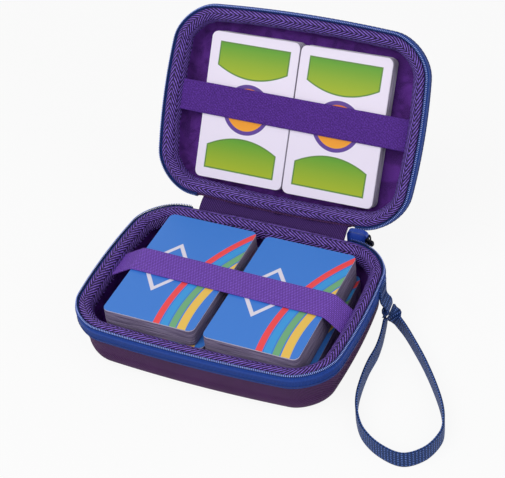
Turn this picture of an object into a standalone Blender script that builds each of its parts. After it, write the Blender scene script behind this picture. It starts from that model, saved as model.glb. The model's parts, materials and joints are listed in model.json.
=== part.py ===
"""Zip-up hard case for playing cards, lying open with its decks held by elastic straps.

The case stands on its base with the lid leaning back on a fabric hinge. Units are metres, +Z is up,
the hinge runs along X at the rear (+Y), and the origin is the middle of the base's underside.
Both halves share one rim outline. A place on a half is given by its inset from the outer face of the
zip tape and by its depth below the plane where the two zip chains meet.
"""

import math

import bmesh
import bpy
from mathutils import Euler, Vector

# Playing cards, which set the size of the case
CARD_WIDTH = 0.0560
CARD_LENGTH = 0.0870
CARD_CORNER_RADIUS = 0.0035
CARD_CORNER_STEPS = 3

# Rim outline over the zip tape: corners of one radius joined by sides that bow outwards
RIM_SIDE_MARGIN = 0.0208
RIM_END_MARGIN = 0.0119
CORNER_RADIUS = 0.0220
SIDE_BOW_X = 0.0043
SIDE_BOW_Y = 0.0036
CORNER_STEPS = 7
LONG_SIDE_SHARES = (0.6, 0.2, -0.2, -0.6)
SHORT_SIDE_SHARES = (0.5, 0.0, -0.5)
REAR_SIDE_SHARES = (-0.5, 0.0, 0.5)

# Overall depths of the halves, measured from the plane where the zip chains meet
BASE_DEPTH = 0.0350
LID_DEPTH = 0.0225
FIT_GAP = 0.0003

# Moulded shells of laminated foam
SHELL_WALL = 0.0030
SHELL_RIM_DEPTH = 0.0025
SHELL_DRAFT = math.radians(12)
SHELL_BOTTOM_RADIUS = 0.0105
FILLET_STEPS = 4

# Napped lining inside each shell
LINING_THICKNESS = 0.0008

# Zip tape sewn round the outside, and the coil along its edge
TAPE_THICKNESS = 0.0009
TAPE_EDGE_DEPTH = 0.0022
TAPE_WIDTH = 0.0078
COIL_INSET = 0.0003
COIL_WIDTH = 0.0016
COIL_TOP_DEPTH = 0.0003
COIL_HEIGHT = 0.0016
ZIP_END_OFFSET = 0.0043

# Herringbone binding that rolls over the rim and leans inwards
BINDING_THICKNESS = 0.0016
BINDING_CREST_DEPTH = 0.0004
BINDING_CREST_INSET = 0.0048
BINDING_FOOT_WIDTH = 0.0025
BINDING_ROLL_WIDTH = 0.0055
BINDING_DROP = 0.0082
BINDING_FOOT_STEPS = 2
BINDING_ROLL_STEPS = 5

# Hinge along the rear, outside both shells
HINGE_STAND_OFF = 0.0011
LID_OPEN_ANGLE = math.radians(122.8)
HINGE_FABRIC_THICKNESS = 0.0009
HINGE_END_GAP = 0.0012

# Decks: the inner long edge of each along X, its middle along Y and its turn
BASE_DECK_FACE_DEPTH = -0.0019
BASE_LEFT_DECK_THICKNESS = 0.0112
BASE_RIGHT_DECK_THICKNESS = 0.0168
BASE_DECK_FLOOR_CLEARANCE = 0.0033
LID_DECK_FACE_DEPTH = 0.0074
BASE_LEFT_DECK = (-0.0017, -0.0006, math.radians(-0.5))
BASE_RIGHT_DECK = (0.0042, -0.0024, math.radians(-0.6))
BASE_LOWER_LEFT_DECK = (0.0024, -0.0008, 0.0)
BASE_LOWER_RIGHT_DECK = (0.0066, -0.0010, math.radians(1.0))
LID_LEFT_DECK = (-0.0005, 0.0018, math.radians(-0.5))
LID_RIGHT_DECK = (0.0004, 0.0018, math.radians(-0.5))
LEFT_SIDE = -1
RIGHT_SIDE = 1

# Elastic straps sewn to the lining under the binding
ELASTIC_WIDTH = 0.0185
ELASTIC_THICKNESS = 0.0012
ELASTIC_END_DROP = 0.0010
ELASTIC_END_LENGTH = 0.0060
BASE_ELASTIC_LEFT_Y = 0.0002
BASE_ELASTIC_RIGHT_Y = -0.0030
LID_ELASTIC_LEFT_Y = -0.0014
LID_ELASTIC_RIGHT_Y = -0.0004
ELASTIC_BEND_ANGLES = (math.radians(45), math.radians(22), 0.0)

# Zip slider at the open end of the chain, on the rear right corner
SLIDER_ANGLE = math.radians(19)
SLIDER_LENGTH = 0.0085
SLIDER_HALF_HEIGHT = 0.0026
SLIDER_PLATE_THICKNESS = 0.0016
SLIDER_STAND_OFF = 0.0004
SLIDER_NOSE_SHARE = 0.6
BRIDGE_LENGTH = 0.0030
BRIDGE_HALF_HEIGHT = 0.0012

# Metal link from the slider to the moulded pull tab, joined by a rivet
LINK_THICKNESS = 0.0006
LINK_HALF_HEIGHT = 0.0015
LINK_DEPTH = 0.0010
LINK_REACH = 0.0020
TAB_CORNER_OFFSET = 0.0010
TAB_WIDTH = 0.0122
TAB_LENGTH = 0.0255
TAB_THICKNESS = 0.0020
TAB_HINGE_OFFSET = 0.0011
TAB_RISE = 0.0020
TAB_CORNER_RADIUS = 0.0030
TAB_CORNER_STEPS = 4
RIVET_RADIUS = 0.0010
RIVET_HEAD_RADIUS = 0.0018
RIVET_HEAD_THICKNESS = 0.0005
RIVET_CLEARANCE = 0.0003
RIVET_SIDES = 16

# Webbing tab on the right side that the wrist strap is sewn to
WEBBING_THICKNESS = 0.0013
ANCHOR_WIDTH = 0.0100
ANCHOR_CORNER_OFFSET = 0.0069
ANCHOR_DROP = 0.0094
ANCHOR_REACH = 0.0046
ANCHOR_FOLD_GAP = 0.0010

# Wrist strap: its middle line from one sewn end to the other, chosen by hand
STRAP_WIDTH = 0.0100
STRAP_SAMPLES = 72
STRAP_ROUTE = (
    (0.0823, 0.0262, 0.0142),
    (0.0823, 0.0258, 0.0118),
    (0.0826, 0.0236, 0.0090),
    (0.0834, 0.0182, 0.0068),
    (0.0845, 0.0106, 0.0058),
    (0.0852, 0.0012, 0.0054),
    (0.0848, -0.0107, 0.0054),
    (0.0857, -0.0235, 0.0054),
    (0.0877, -0.0355, 0.0054),
    (0.0917, -0.0460, 0.0054),
    (0.0989, -0.0565, 0.0054),
    (0.1105, -0.0641, 0.0054),
    (0.1239, -0.0665, 0.0054),
    (0.1335, -0.0586, 0.0054),
    (0.1376, -0.0467, 0.0054),
    (0.1365, -0.0373, 0.0054),
    (0.1321, -0.0264, 0.0054),
    (0.1239, -0.0131, 0.0054),
    (0.1133, 0.0015, 0.0054),
    (0.1028, 0.0140, 0.0056),
    (0.0950, 0.0222, 0.0064),
    (0.0890, 0.0266, 0.0084),
    (0.0856, 0.0281, 0.0116),
    (0.0850, 0.0282, 0.0142),
)

# Places that follow from the sizes above
CORNER_CENTRE_X = CARD_WIDTH + RIM_SIDE_MARGIN - CORNER_RADIUS
CORNER_CENTRE_Y = CARD_LENGTH / 2 + RIM_END_MARGIN - CORNER_RADIUS
ZIP_END_X = CORNER_CENTRE_X - ZIP_END_OFFSET
HINGE_AXIS_Y = CORNER_CENTRE_Y + CORNER_RADIUS + SIDE_BOW_Y + HINGE_STAND_OFF
HINGE_AXIS_Z = BASE_DEPTH
LINK_Z = BASE_DEPTH - LINK_DEPTH
TAB_CENTRE_X = CORNER_CENTRE_X - TAB_CORNER_OFFSET
TAB_Y = HINGE_AXIS_Y - TAB_HINGE_OFFSET
TAB_TOP_Z = BASE_DEPTH + TAB_RISE
HINGE_END_X = TAB_CENTRE_X - TAB_WIDTH / 2 - HINGE_END_GAP
ANCHOR_Y = CORNER_CENTRE_Y - ANCHOR_CORNER_OFFSET


def clear_scene():
    for item in list(bpy.data.objects):
        bpy.data.objects.remove(item, do_unlink=True)


def make_material(name, colour, roughness, metallic=0.0):
    material = bpy.data.materials.new(name)
    material.use_nodes = True
    shader = material.node_tree.nodes["Principled BSDF"]
    shader.inputs["Base Color"].default_value = (*colour, 1.0)
    shader.inputs["Roughness"].default_value = roughness
    shader.inputs["Metallic"].default_value = metallic
    material.diffuse_color = (*colour, 1.0)
    return material


def make_object(name, mesh_data, material, parent=None):
    """Makes an object from a bmesh, with its faces turned outwards."""
    bmesh.ops.recalc_face_normals(mesh_data, faces=mesh_data.faces)
    mesh = bpy.data.meshes.new(name)
    mesh_data.to_mesh(mesh)
    mesh_data.free()
    mesh.materials.append(material)
    mesh.shade_smooth()
    mesh.set_sharp_from_angle(angle=math.radians(35))
    item = bpy.data.objects.new(name, mesh)
    bpy.context.scene.collection.objects.link(item)
    item.parent = parent
    return item


def make_empty(name, place, turn=(0.0, 0.0, 0.0)):
    empty = bpy.data.objects.new(name, None)
    empty.location = place
    empty.rotation_euler = Euler(turn)
    bpy.context.scene.collection.objects.link(empty)
    return empty


def skin(rows, ring, wrap):
    """A closed mesh over rows of points. ring joins each row's ends, and wrap joins last row to first."""
    data = bmesh.new()
    grid = [[data.verts.new(point) for point in row] for row in rows]
    pairs = list(zip(grid, grid[1:]))
    if wrap:
        pairs.append((grid[-1], grid[0]))
    for first, second in pairs:
        count = len(first)
        for i in range(count if ring else count - 1):
            j = (i + 1) % count
            data.faces.new((first[i], first[j], second[j], second[i]))
    if not wrap:
        data.faces.new(grid[0])
        data.faces.new(list(reversed(grid[-1])))
    return data


def base_point(x, y, depth):
    """World place of a point on the base half."""
    return Vector((x, y, BASE_DEPTH - depth))


def lid_point(x, y, depth):
    """Place of a point on the closed lid, counted from the hinge axis that the lid turns on."""
    return Vector((x, y - HINGE_AXIS_Y, depth))


def corner_stations(sign_x, sign_y, start_degrees):
    """Stations round one corner, clockwise seen from above, from a start angle."""
    found = []
    for step in range(CORNER_STEPS + 1):
        angle = math.radians(start_degrees - 90 * step / CORNER_STEPS)
        centre = (sign_x * CORNER_CENTRE_X, sign_y * CORNER_CENTRE_Y)
        found.append((*centre, math.cos(angle), math.sin(angle)))
    return found


def zip_stations():
    """Stations of the zip, from its rear right end round the front to its rear left end."""
    right = [(CORNER_CENTRE_X, share * CORNER_CENTRE_Y, 1.0, 0.0) for share in SHORT_SIDE_SHARES]
    front = [(share * CORNER_CENTRE_X, -CORNER_CENTRE_Y, 0.0, -1.0) for share in LONG_SIDE_SHARES]
    left = [(-CORNER_CENTRE_X, -share * CORNER_CENTRE_Y, -1.0, 0.0) for share in SHORT_SIDE_SHARES]
    return (
        [(ZIP_END_X, CORNER_CENTRE_Y, 0.0, 1.0)]
        + corner_stations(1, 1, 90)
        + right
        + corner_stations(1, -1, 0)
        + front
        + corner_stations(-1, -1, -90)
        + left
        + corner_stations(-1, 1, -180)
        + [(-ZIP_END_X, CORNER_CENTRE_Y, 0.0, 1.0)]
    )


def rim_stations():
    """Stations of the whole rim: the zip's, then those along the hinge."""
    rear = [(share * ZIP_END_X, CORNER_CENTRE_Y, 0.0, 1.0) for share in REAR_SIDE_SHARES]
    return zip_stations() + rear


def bowed(x, y):
    """The point pushed outwards by the bow of the sides."""
    half_x = CORNER_CENTRE_X + CORNER_RADIUS
    half_y = CORNER_CENTRE_Y + CORNER_RADIUS
    push_x = SIDE_BOW_X * (1 - (y / half_y) ** 2) * abs(x / half_x) ** 3
    push_y = SIDE_BOW_Y * (1 - (x / half_x) ** 2) * abs(y / half_y) ** 3
    return x + math.copysign(push_x, x), y + math.copysign(push_y, y)


def rim_point(station, inset):
    """Plan position of a station, at an inset from the outer face of the zip tape."""
    centre_x, centre_y, out_x, out_y = station
    radius = CORNER_RADIUS - inset
    outer_x, outer_y = centre_x + out_x * CORNER_RADIUS, centre_y + out_y * CORNER_RADIUS
    bow_x, bow_y = bowed(outer_x, outer_y)
    return centre_x + out_x * radius + bow_x - outer_x, centre_y + out_y * radius + bow_y - outer_y


def side_x(inset):
    """How far the middle of a short side reaches along X, at an inset."""
    return rim_point((CORNER_CENTRE_X, 0.0, 1.0, 0.0), inset)[0]


def rear_y(x, inset):
    """How far the rear side reaches along Y at a place along X, at an inset."""
    return rim_point((x, CORNER_CENTRE_Y, 0.0, 1.0), inset)[1]


def wall_profile(inset, depth, radius, top):
    """(inset, depth) points down a wall, from its top edge to where its rounded foot meets the floor."""
    straight_end = TAPE_EDGE_DEPTH + TAPE_WIDTH + FIT_GAP
    round_depth = depth - radius
    slope = math.tan(SHELL_DRAFT)
    round_inset = inset + (round_depth - straight_end) * slope + radius / math.cos(SHELL_DRAFT)
    points = [(inset, top), (inset, straight_end)]
    for step in range(FILLET_STEPS + 1):
        angle = -SHELL_DRAFT + (math.pi / 2 + SHELL_DRAFT) * step / FILLET_STEPS
        points.append((round_inset - radius * math.cos(angle), round_depth + radius * math.sin(angle)))
    return points


def tray(point_on_half, inset, depth, radius, wall, top):
    """An open tray with a wall of one thickness, lofted through the rim's outline."""
    outer = wall_profile(inset, depth, radius, top)
    inner = wall_profile(inset + wall, depth - wall, radius - wall, top)
    rows = []
    for ring_inset, ring_depth in list(reversed(outer)) + inner:
        row = []
        for station in rim_stations():
            x, y = rim_point(station, ring_inset)
            row.append(point_on_half(x, y, ring_depth))
        rows.append(row)
    return skin(rows, ring=True, wrap=False)


def sweep(point_on_half, section, stations, wrap):
    """A closed section of (inset, depth) points swept along stations of the rim."""
    rows = []
    for station in stations:
        row = []
        for inset, depth in section:
            x, y = rim_point(station, inset)
            row.append(point_on_half(x, y, depth))
        rows.append(row)
    return skin(rows, ring=True, wrap=wrap)


def box_section(inset, width, top, height):
    return [(inset, top), (inset + width, top), (inset + width, top + height), (inset, top + height)]


def binding_section():
    """Section of the binding: a foot outside its crest, a long roll inside it, and its underside."""
    low = BINDING_CREST_DEPTH + BINDING_DROP
    foot_depth = BINDING_CREST_DEPTH + BINDING_THICKNESS + FIT_GAP / 2
    points = []
    for step in range(BINDING_FOOT_STEPS):
        angle = math.pi / 2 * step / BINDING_FOOT_STEPS
        inset = BINDING_CREST_INSET - BINDING_FOOT_WIDTH * math.cos(angle)
        points.append((inset, foot_depth - (foot_depth - BINDING_CREST_DEPTH) * math.sin(angle)))
    for step in range(BINDING_ROLL_STEPS + 1):
        angle = math.pi / 2 * step / BINDING_ROLL_STEPS
        inset = BINDING_CREST_INSET + BINDING_ROLL_WIDTH * math.sin(angle)
        points.append((inset, low - BINDING_DROP * math.cos(angle)))
    inner_width = BINDING_ROLL_WIDTH - BINDING_THICKNESS
    inner_drop = low - foot_depth
    back_inset = lining_inset() + LINING_THICKNESS + FIT_GAP
    back_angle = math.asin((back_inset - BINDING_CREST_INSET) / inner_width)
    for step in range(BINDING_ROLL_STEPS):
        share = step / (BINDING_ROLL_STEPS - 1)
        angle = math.pi / 2 + (back_angle - math.pi / 2) * share
        inset = BINDING_CREST_INSET + inner_width * math.sin(angle)
        points.append((inset, low - inner_drop * math.cos(angle)))
    return points


def lining_inset():
    return shell_inset() + SHELL_WALL + FIT_GAP


def shell_inset():
    return TAPE_THICKNESS + FIT_GAP


def lining_floor(depth):
    """Depth of the lining's inner face at the floor of a half."""
    return depth - SHELL_WALL - FIT_GAP - LINING_THICKNESS


def strip(centres, across, thickness):
    """A flat strip along a path. across holds the vector from its middle to its edge at each point."""
    rows = []
    for i, (centre, half) in enumerate(zip(centres, across)):
        ahead = centres[min(i + 1, len(centres) - 1)] - centres[max(i - 1, 0)]
        lift = ahead.cross(half).normalized() * (thickness / 2)
        rows.append([centre - half - lift, centre + half - lift, centre + half + lift, centre - half + lift])
    return skin(rows, ring=True, wrap=False)


def smooth_path(points, samples):
    """Points evenly spread in count along a smooth curve through the given points."""
    knots = [Vector(point) for point in points]
    knots = [2 * knots[0] - knots[1]] + knots + [2 * knots[-1] - knots[-2]]
    spans = len(knots) - 3
    path = []
    for sample in range(samples + 1):
        place = spans * sample / samples
        i = min(int(place), spans - 1)
        t = place - i
        a, b, c, d = knots[i : i + 4]
        path.append(
            (2 * b + (c - a) * t + (2 * a - 5 * b + 4 * c - d) * t**2 + (3 * b - a - 3 * c + d) * t**3) / 2
        )
    return path


def card_outline(inner_x, centre_y, turn, side):
    """Outline of a card with rounded corners, turned about its middle, on one side of its inner edge."""
    points = []
    centre_x = inner_x + side * CARD_WIDTH / 2
    reach_x = CARD_WIDTH / 2 - CARD_CORNER_RADIUS
    reach_y = CARD_LENGTH / 2 - CARD_CORNER_RADIUS
    for quarter, (sign_x, sign_y) in enumerate(((1, 1), (-1, 1), (-1, -1), (1, -1))):
        for step in range(CARD_CORNER_STEPS + 1):
            angle = math.pi / 2 * (quarter + step / CARD_CORNER_STEPS)
            x = sign_x * reach_x + CARD_CORNER_RADIUS * math.cos(angle)
            y = sign_y * reach_y + CARD_CORNER_RADIUS * math.sin(angle)
            turned_x = x * math.cos(turn) - y * math.sin(turn)
            turned_y = x * math.sin(turn) + y * math.cos(turn)
            points.append((centre_x + turned_x, centre_y + turned_y))
    return points


def deck(point_on_half, place, side, face_depth, back_depth):
    """A squared-up stack of cards between two depths."""
    rows = []
    for depth in (face_depth, back_depth):
        rows.append([point_on_half(x, y, depth) for x, y in card_outline(*place, side)])
    return skin(rows, ring=True, wrap=False)


def elastic(point_on_half, left_x, right_x, face_depth, left_y, right_y):
    """An elastic strap over a pair of decks, its ends under the binding's edge at the side walls."""
    clear = FIT_GAP + ELASTIC_THICKNESS / 2
    wall_x = side_x(lining_inset() + LINING_THICKNESS + FIT_GAP)
    end_depth = BINDING_CREST_DEPTH + BINDING_DROP + ELASTIC_END_DROP
    left = [(-wall_x, end_depth), (-wall_x + ELASTIC_END_LENGTH, end_depth)]
    right = [(wall_x, end_depth), (wall_x - ELASTIC_END_LENGTH, end_depth)]
    for angle in ELASTIC_BEND_ANGLES:
        depth = face_depth - clear * math.cos(angle)
        left.append((left_x - clear * math.sin(angle), depth))
        right.append((right_x + clear * math.sin(angle), depth))
    path = left + list(reversed(right))
    centres = []
    for x, depth in path:
        y = left_y + (right_y - left_y) * (x + wall_x) / (2 * wall_x)
        centres.append(point_on_half(x, y, depth))
    half = point_on_half(0.0, ELASTIC_WIDTH / 2, 0.0) - point_on_half(0.0, 0.0, 0.0)
    return strip(centres, [half] * len(centres), ELASTIC_THICKNESS)


def hinge_fabric():
    """Fabric strip from the base's rear face, over the open hinge and down the lid's rear face."""
    open_turn = Euler((-LID_OPEN_ANGLE, 0.0, 0.0)).to_matrix()
    axis = Vector((0.0, HINGE_AXIS_Y, HINGE_AXIS_Z))
    foot = TAPE_EDGE_DEPTH + TAPE_WIDTH
    columns = []
    for x in (HINGE_END_X, *(share * ZIP_END_X for share in reversed(REAR_SIDE_SHARES)), -HINGE_END_X):
        y = rear_y(x, HINGE_FABRIC_THICKNESS / 2)
        column = [base_point(x, y, foot), base_point(x, y, TAPE_EDGE_DEPTH)]
        column += [axis + open_turn @ lid_point(x, y, depth) for depth in (TAPE_EDGE_DEPTH, foot)]
        columns.append(column)
    rows = []
    for column in columns:
        outer, inner = [], []
        for i, point in enumerate(column):
            ahead = column[min(i + 1, 3)] - column[max(i - 1, 0)]
            side = Vector((0.0, -ahead.z, ahead.y)).normalized() * (HINGE_FABRIC_THICKNESS / 2)
            outer.append(point + side)
            inner.append(point - side)
        rows.append(outer + list(reversed(inner)))
    return skin(rows, ring=True, wrap=False)


def slider_frame():
    """Middle of the slider on the tape, with the directions outwards and towards the zip's end."""
    out = Vector((math.sin(SLIDER_ANGLE), math.cos(SLIDER_ANGLE), 0.0))
    x, y = rim_point((CORNER_CENTRE_X, CORNER_CENTRE_Y, out.x, out.y), 0.0)
    return Vector((x, y, BASE_DEPTH)), out, Vector((-out.y, out.x, 0.0))


def slider_body():
    """Slider plate with a pointed nose, and the bridge that stands up from it to the link."""
    centre, out, along = slider_frame()
    half, nose = SLIDER_LENGTH / 2, SLIDER_LENGTH / 2 * SLIDER_NOSE_SHARE
    low = SLIDER_STAND_OFF
    outline = [
        (-half, SLIDER_HALF_HEIGHT),
        (-half, -SLIDER_HALF_HEIGHT),
        (nose, -SLIDER_HALF_HEIGHT),
        (half, -SLIDER_HALF_HEIGHT / 2),
        (half, SLIDER_HALF_HEIGHT / 2),
        (nose, SLIDER_HALF_HEIGHT),
    ]
    rows = []
    for reach in (low, low + SLIDER_PLATE_THICKNESS):
        rows.append([centre + along * a + out * reach + Vector((0.0, 0.0, h)) for a, h in outline])
    return skin(rows, ring=True, wrap=False)


def link_y():
    """Near face of the metal link, just behind the pull tab."""
    return TAB_Y + TAB_THICKNESS + FIT_GAP


def bridge():
    """Bridge block on the slider's back, which carries the link."""
    centre, out, along = slider_frame()
    start = SLIDER_STAND_OFF + SLIDER_PLATE_THICKNESS - FIT_GAP
    data = bmesh.new()
    corners = []
    for a in (-BRIDGE_LENGTH / 2, BRIDGE_LENGTH / 2):
        near = centre + along * a + out * start
        far = Vector((near.x, link_y() + LINK_THICKNESS, near.z))
        for place in (near, far):
            for level in (LINK_Z - BRIDGE_HALF_HEIGHT, LINK_Z + BRIDGE_HALF_HEIGHT):
                corners.append(data.verts.new((place.x, place.y, level)))
    for face in ((0, 1, 3, 2), (4, 6, 7, 5), (0, 4, 5, 1), (2, 3, 7, 6), (1, 5, 7, 3), (0, 2, 6, 4)):
        data.faces.new([corners[i] for i in face])
    return data


def block(low, high):
    """A plain block between two corners."""
    data = bmesh.new()
    bmesh.ops.create_cube(data, size=1.0)
    centre = (Vector(low) + Vector(high)) / 2
    size = Vector(high) - Vector(low)
    for vertex in data.verts:
        vertex.co = centre + Vector((vertex.co.x * size.x, vertex.co.y * size.y, vertex.co.z * size.z))
    return data


def cylinder_along_y(centre, radius, start, end):
    """A round bar along Y between two places."""
    data = bmesh.new()
    rows = []
    for y in (start, end):
        row = []
        for i in range(RIVET_SIDES):
            angle = 2 * math.pi * i / RIVET_SIDES
            row.append(Vector((centre.x + radius * math.cos(angle), y, centre.z + radius * math.sin(angle))))
        rows.append(row)
    data.free()
    return skin(rows, ring=True, wrap=False)


def rounded_plate(centre_x, width, top, length, corner, steps, start, end):
    """An upright plate in the XZ plane with round corners, between two places along Y."""
    rows = []
    reach_x, reach_z = width / 2 - corner, length / 2 - corner
    for y in (start, end):
        row = []
        for quarter, (sign_x, sign_z) in enumerate(((1, 1), (-1, 1), (-1, -1), (1, -1))):
            for step in range(steps + 1):
                angle = math.pi / 2 * (quarter + step / steps)
                x = centre_x + sign_x * reach_x + corner * math.cos(angle)
                z = top - length / 2 + sign_z * reach_z + corner * math.sin(angle)
                row.append(Vector((x, y, z)))
        rows.append(row)
    return skin(rows, ring=True, wrap=False)


def boolean(item, operation, tool_name, tool_data):
    """Adds or cuts a helper shape, which stays in the scene as a hidden guide."""
    tool = make_object(tool_name, tool_data, item.data.materials[0], item.parent)
    tool.hide_render = True
    tool.display_type = "WIRE"
    modifier = item.modifiers.new(tool_name, "BOOLEAN")
    modifier.operation = operation
    modifier.object = tool


def anchor_frame():
    """Place on the base's right side above the strap tab, with the directions outwards and backwards."""
    station = (CORNER_CENTRE_X, ANCHOR_Y, 1.0, 0.0)
    x, y = rim_point(station, 0.0)
    slope = -2 * SIDE_BOW_X * y / (CORNER_CENTRE_Y + CORNER_RADIUS) ** 2
    back = Vector((slope, 1.0, 0.0)).normalized()
    top = Vector((x, y, BASE_DEPTH - TAPE_EDGE_DEPTH - TAPE_WIDTH - FIT_GAP))
    return top, Vector((back.y, -back.x, 0.0)), back


def strap_tab():
    """Folded webbing tab that hangs from under the zip tape."""
    top, out, back = anchor_frame()
    fold = (WEBBING_THICKNESS + ANCHOR_FOLD_GAP) / 2
    inner = WEBBING_THICKNESS / 2 - TAPE_THICKNESS
    outer = ANCHOR_REACH - WEBBING_THICKNESS / 2
    straight = ANCHOR_DROP / 2
    places = [(inner, 0.0), (inner, -WEBBING_THICKNESS), (outer, -straight)]
    for degrees in (0, -60, -120, -180):
        angle = math.radians(degrees)
        places.append((outer - fold + fold * math.cos(angle), fold - ANCHOR_DROP + fold * math.sin(angle)))
    places.append((outer - 2 * fold, -straight - WEBBING_THICKNESS))
    path = [top + out * reach + Vector((0.0, 0.0, rise)) for reach, rise in places]
    return strip(path, [back * (ANCHOR_WIDTH / 2)] * len(path), WEBBING_THICKNESS)


def wrist_strap():
    """Webbing loop that hangs from the tab and stands on its edge where it lies on the table."""
    path = smooth_path(STRAP_ROUTE, STRAP_SAMPLES)
    top, out, back = anchor_frame()
    clear_drop = top.z - ANCHOR_DROP
    across = []
    for i, point in enumerate(path):
        ahead = (path[min(i + 1, len(path) - 1)] - path[max(i - 1, 0)]).normalized()
        upright = Vector((0.0, 0.0, 1.0))
        share = min(max((point.z - STRAP_WIDTH / 2) / (clear_drop - STRAP_WIDTH / 2), 0.0), 1.0)
        wish = upright.lerp(back, share)
        edge = (wish - ahead * wish.dot(ahead)).normalized()
        across.append(edge * (STRAP_WIDTH / 2))
    return strip(path, across, WEBBING_THICKNESS)


def build_half(prefix, point_on_half, depth, parent, looks):
    """The shell, lining, binding and zip half that the base and the lid both have."""
    shell = tray(point_on_half, shell_inset(), depth, SHELL_BOTTOM_RADIUS, SHELL_WALL, SHELL_RIM_DEPTH)
    make_object(prefix + "_shell", shell, looks["shell"], parent)
    lining = tray(
        point_on_half,
        lining_inset(),
        depth - SHELL_WALL - FIT_GAP,
        SHELL_BOTTOM_RADIUS - SHELL_WALL - FIT_GAP,
        LINING_THICKNESS,
        SHELL_RIM_DEPTH,
    )
    make_object(prefix + "_lining", lining, looks["lining"], parent)
    binding = sweep(point_on_half, binding_section(), rim_stations(), wrap=True)
    make_object(prefix + "_binding", binding, looks["binding"], parent)
    sections = {
        "tape": box_section(0.0, TAPE_THICKNESS, TAPE_EDGE_DEPTH, TAPE_WIDTH),
        "coil": box_section(COIL_INSET, COIL_WIDTH, COIL_TOP_DEPTH, COIL_HEIGHT),
    }
    for piece, section in sections.items():
        strip_data = sweep(point_on_half, section, zip_stations(), wrap=False)
        make_object(f"{prefix}_zip_{piece}", strip_data, looks[piece], parent)


def build_contents(looks, lid_axis):
    """Decks in both halves and the elastic straps over them."""
    left_back = BASE_DECK_FACE_DEPTH + BASE_LEFT_DECK_THICKNESS
    right_back = BASE_DECK_FACE_DEPTH + BASE_RIGHT_DECK_THICKNESS
    lower_back = lining_floor(BASE_DEPTH) - BASE_DECK_FLOOR_CLEARANCE
    lid_back = lining_floor(LID_DEPTH) - FIT_GAP
    base_decks = (
        ("base_deck_left", BASE_LEFT_DECK, LEFT_SIDE, BASE_DECK_FACE_DEPTH, left_back),
        ("base_deck_right", BASE_RIGHT_DECK, RIGHT_SIDE, BASE_DECK_FACE_DEPTH, right_back),
        ("base_deck_lower_left", BASE_LOWER_LEFT_DECK, LEFT_SIDE, left_back + FIT_GAP, lower_back),
        ("base_deck_lower_right", BASE_LOWER_RIGHT_DECK, RIGHT_SIDE, right_back + FIT_GAP, lower_back),
    )
    for name, place, side, face, back in base_decks:
        make_object(name, deck(base_point, place, side, face, back), looks["blue_card"])
    lid_decks = (("lid_deck_left", LID_LEFT_DECK, LEFT_SIDE), ("lid_deck_right", LID_RIGHT_DECK, RIGHT_SIDE))
    for name, place, side in lid_decks:
        stack = deck(lid_point, place, side, LID_DECK_FACE_DEPTH, lid_back)
        make_object(name, stack, looks["white_card"], lid_axis)
    left, right = edge_x(BASE_LEFT_DECK, LEFT_SIDE), edge_x(BASE_RIGHT_DECK, RIGHT_SIDE)
    strap = elastic(base_point, left, right, BASE_DECK_FACE_DEPTH, BASE_ELASTIC_LEFT_Y, BASE_ELASTIC_RIGHT_Y)
    make_object("base_elastic_strap", strap, looks["elastic"])
    left, right = edge_x(LID_LEFT_DECK, LEFT_SIDE), edge_x(LID_RIGHT_DECK, RIGHT_SIDE)
    strap = elastic(lid_point, left, right, LID_DECK_FACE_DEPTH, LID_ELASTIC_LEFT_Y, LID_ELASTIC_RIGHT_Y)
    make_object("lid_elastic_strap", strap, looks["elastic"], lid_axis)


def edge_x(place, side):
    """Furthest place along X of a deck's long edge under the elastic strap."""
    return place[0] + side * (CARD_WIDTH + abs(ELASTIC_WIDTH * math.sin(place[2])))


def build_puller(looks):
    """Slider, link, rivet and moulded pull tab."""
    slider = make_object("zip_slider", slider_body(), looks["metal"])
    boolean(slider, "UNION", "slider_bridge_guide", bridge())
    centre = slider_frame()[0]
    near_end = centre.x - BRIDGE_LENGTH / 2 - FIT_GAP
    low = (TAB_CENTRE_X - LINK_REACH, link_y(), LINK_Z - LINK_HALF_HEIGHT)
    high = (near_end, link_y() + LINK_THICKNESS, LINK_Z + LINK_HALF_HEIGHT)
    link = make_object("puller_link", block(low, high), looks["metal"])
    pivot = Vector((TAB_CENTRE_X, 0.0, LINK_Z))
    bore = RIVET_RADIUS + RIVET_CLEARANCE
    through = (TAB_Y - TAB_THICKNESS, link_y() + LINK_THICKNESS + TAB_THICKNESS)
    boolean(link, "DIFFERENCE", "link_bore_guide", cylinder_along_y(pivot, bore, *through))
    tab_axis = make_empty("pull_tab_axis", (TAB_CENTRE_X, TAB_Y, LINK_Z))
    offset = Vector((TAB_CENTRE_X, TAB_Y, LINK_Z))
    plate = rounded_plate(
        0.0,
        TAB_WIDTH,
        TAB_TOP_Z - LINK_Z,
        TAB_LENGTH,
        TAB_CORNER_RADIUS,
        TAB_CORNER_STEPS,
        0.0,
        TAB_THICKNESS,
    )
    tab = make_object("pull_tab", plate, looks["moulded"], tab_axis)
    hole = cylinder_along_y(pivot - offset, bore, -TAB_THICKNESS, 2 * TAB_THICKNESS)
    boolean(tab, "DIFFERENCE", "tab_bore_guide", hole)
    head_start = TAB_Y - FIT_GAP - RIVET_HEAD_THICKNESS
    head_end = link_y() + LINK_THICKNESS + FIT_GAP + RIVET_HEAD_THICKNESS
    pin = cylinder_along_y(pivot, RIVET_RADIUS, head_start, head_end)
    rivet = make_object("pull_rivet", pin, looks["metal"])
    front = cylinder_along_y(pivot, RIVET_HEAD_RADIUS, head_start, head_start + RIVET_HEAD_THICKNESS)
    rear = cylinder_along_y(pivot, RIVET_HEAD_RADIUS, head_end - RIVET_HEAD_THICKNESS, head_end)
    boolean(rivet, "UNION", "rivet_front_guide", front)
    boolean(rivet, "UNION", "rivet_rear_guide", rear)


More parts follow.
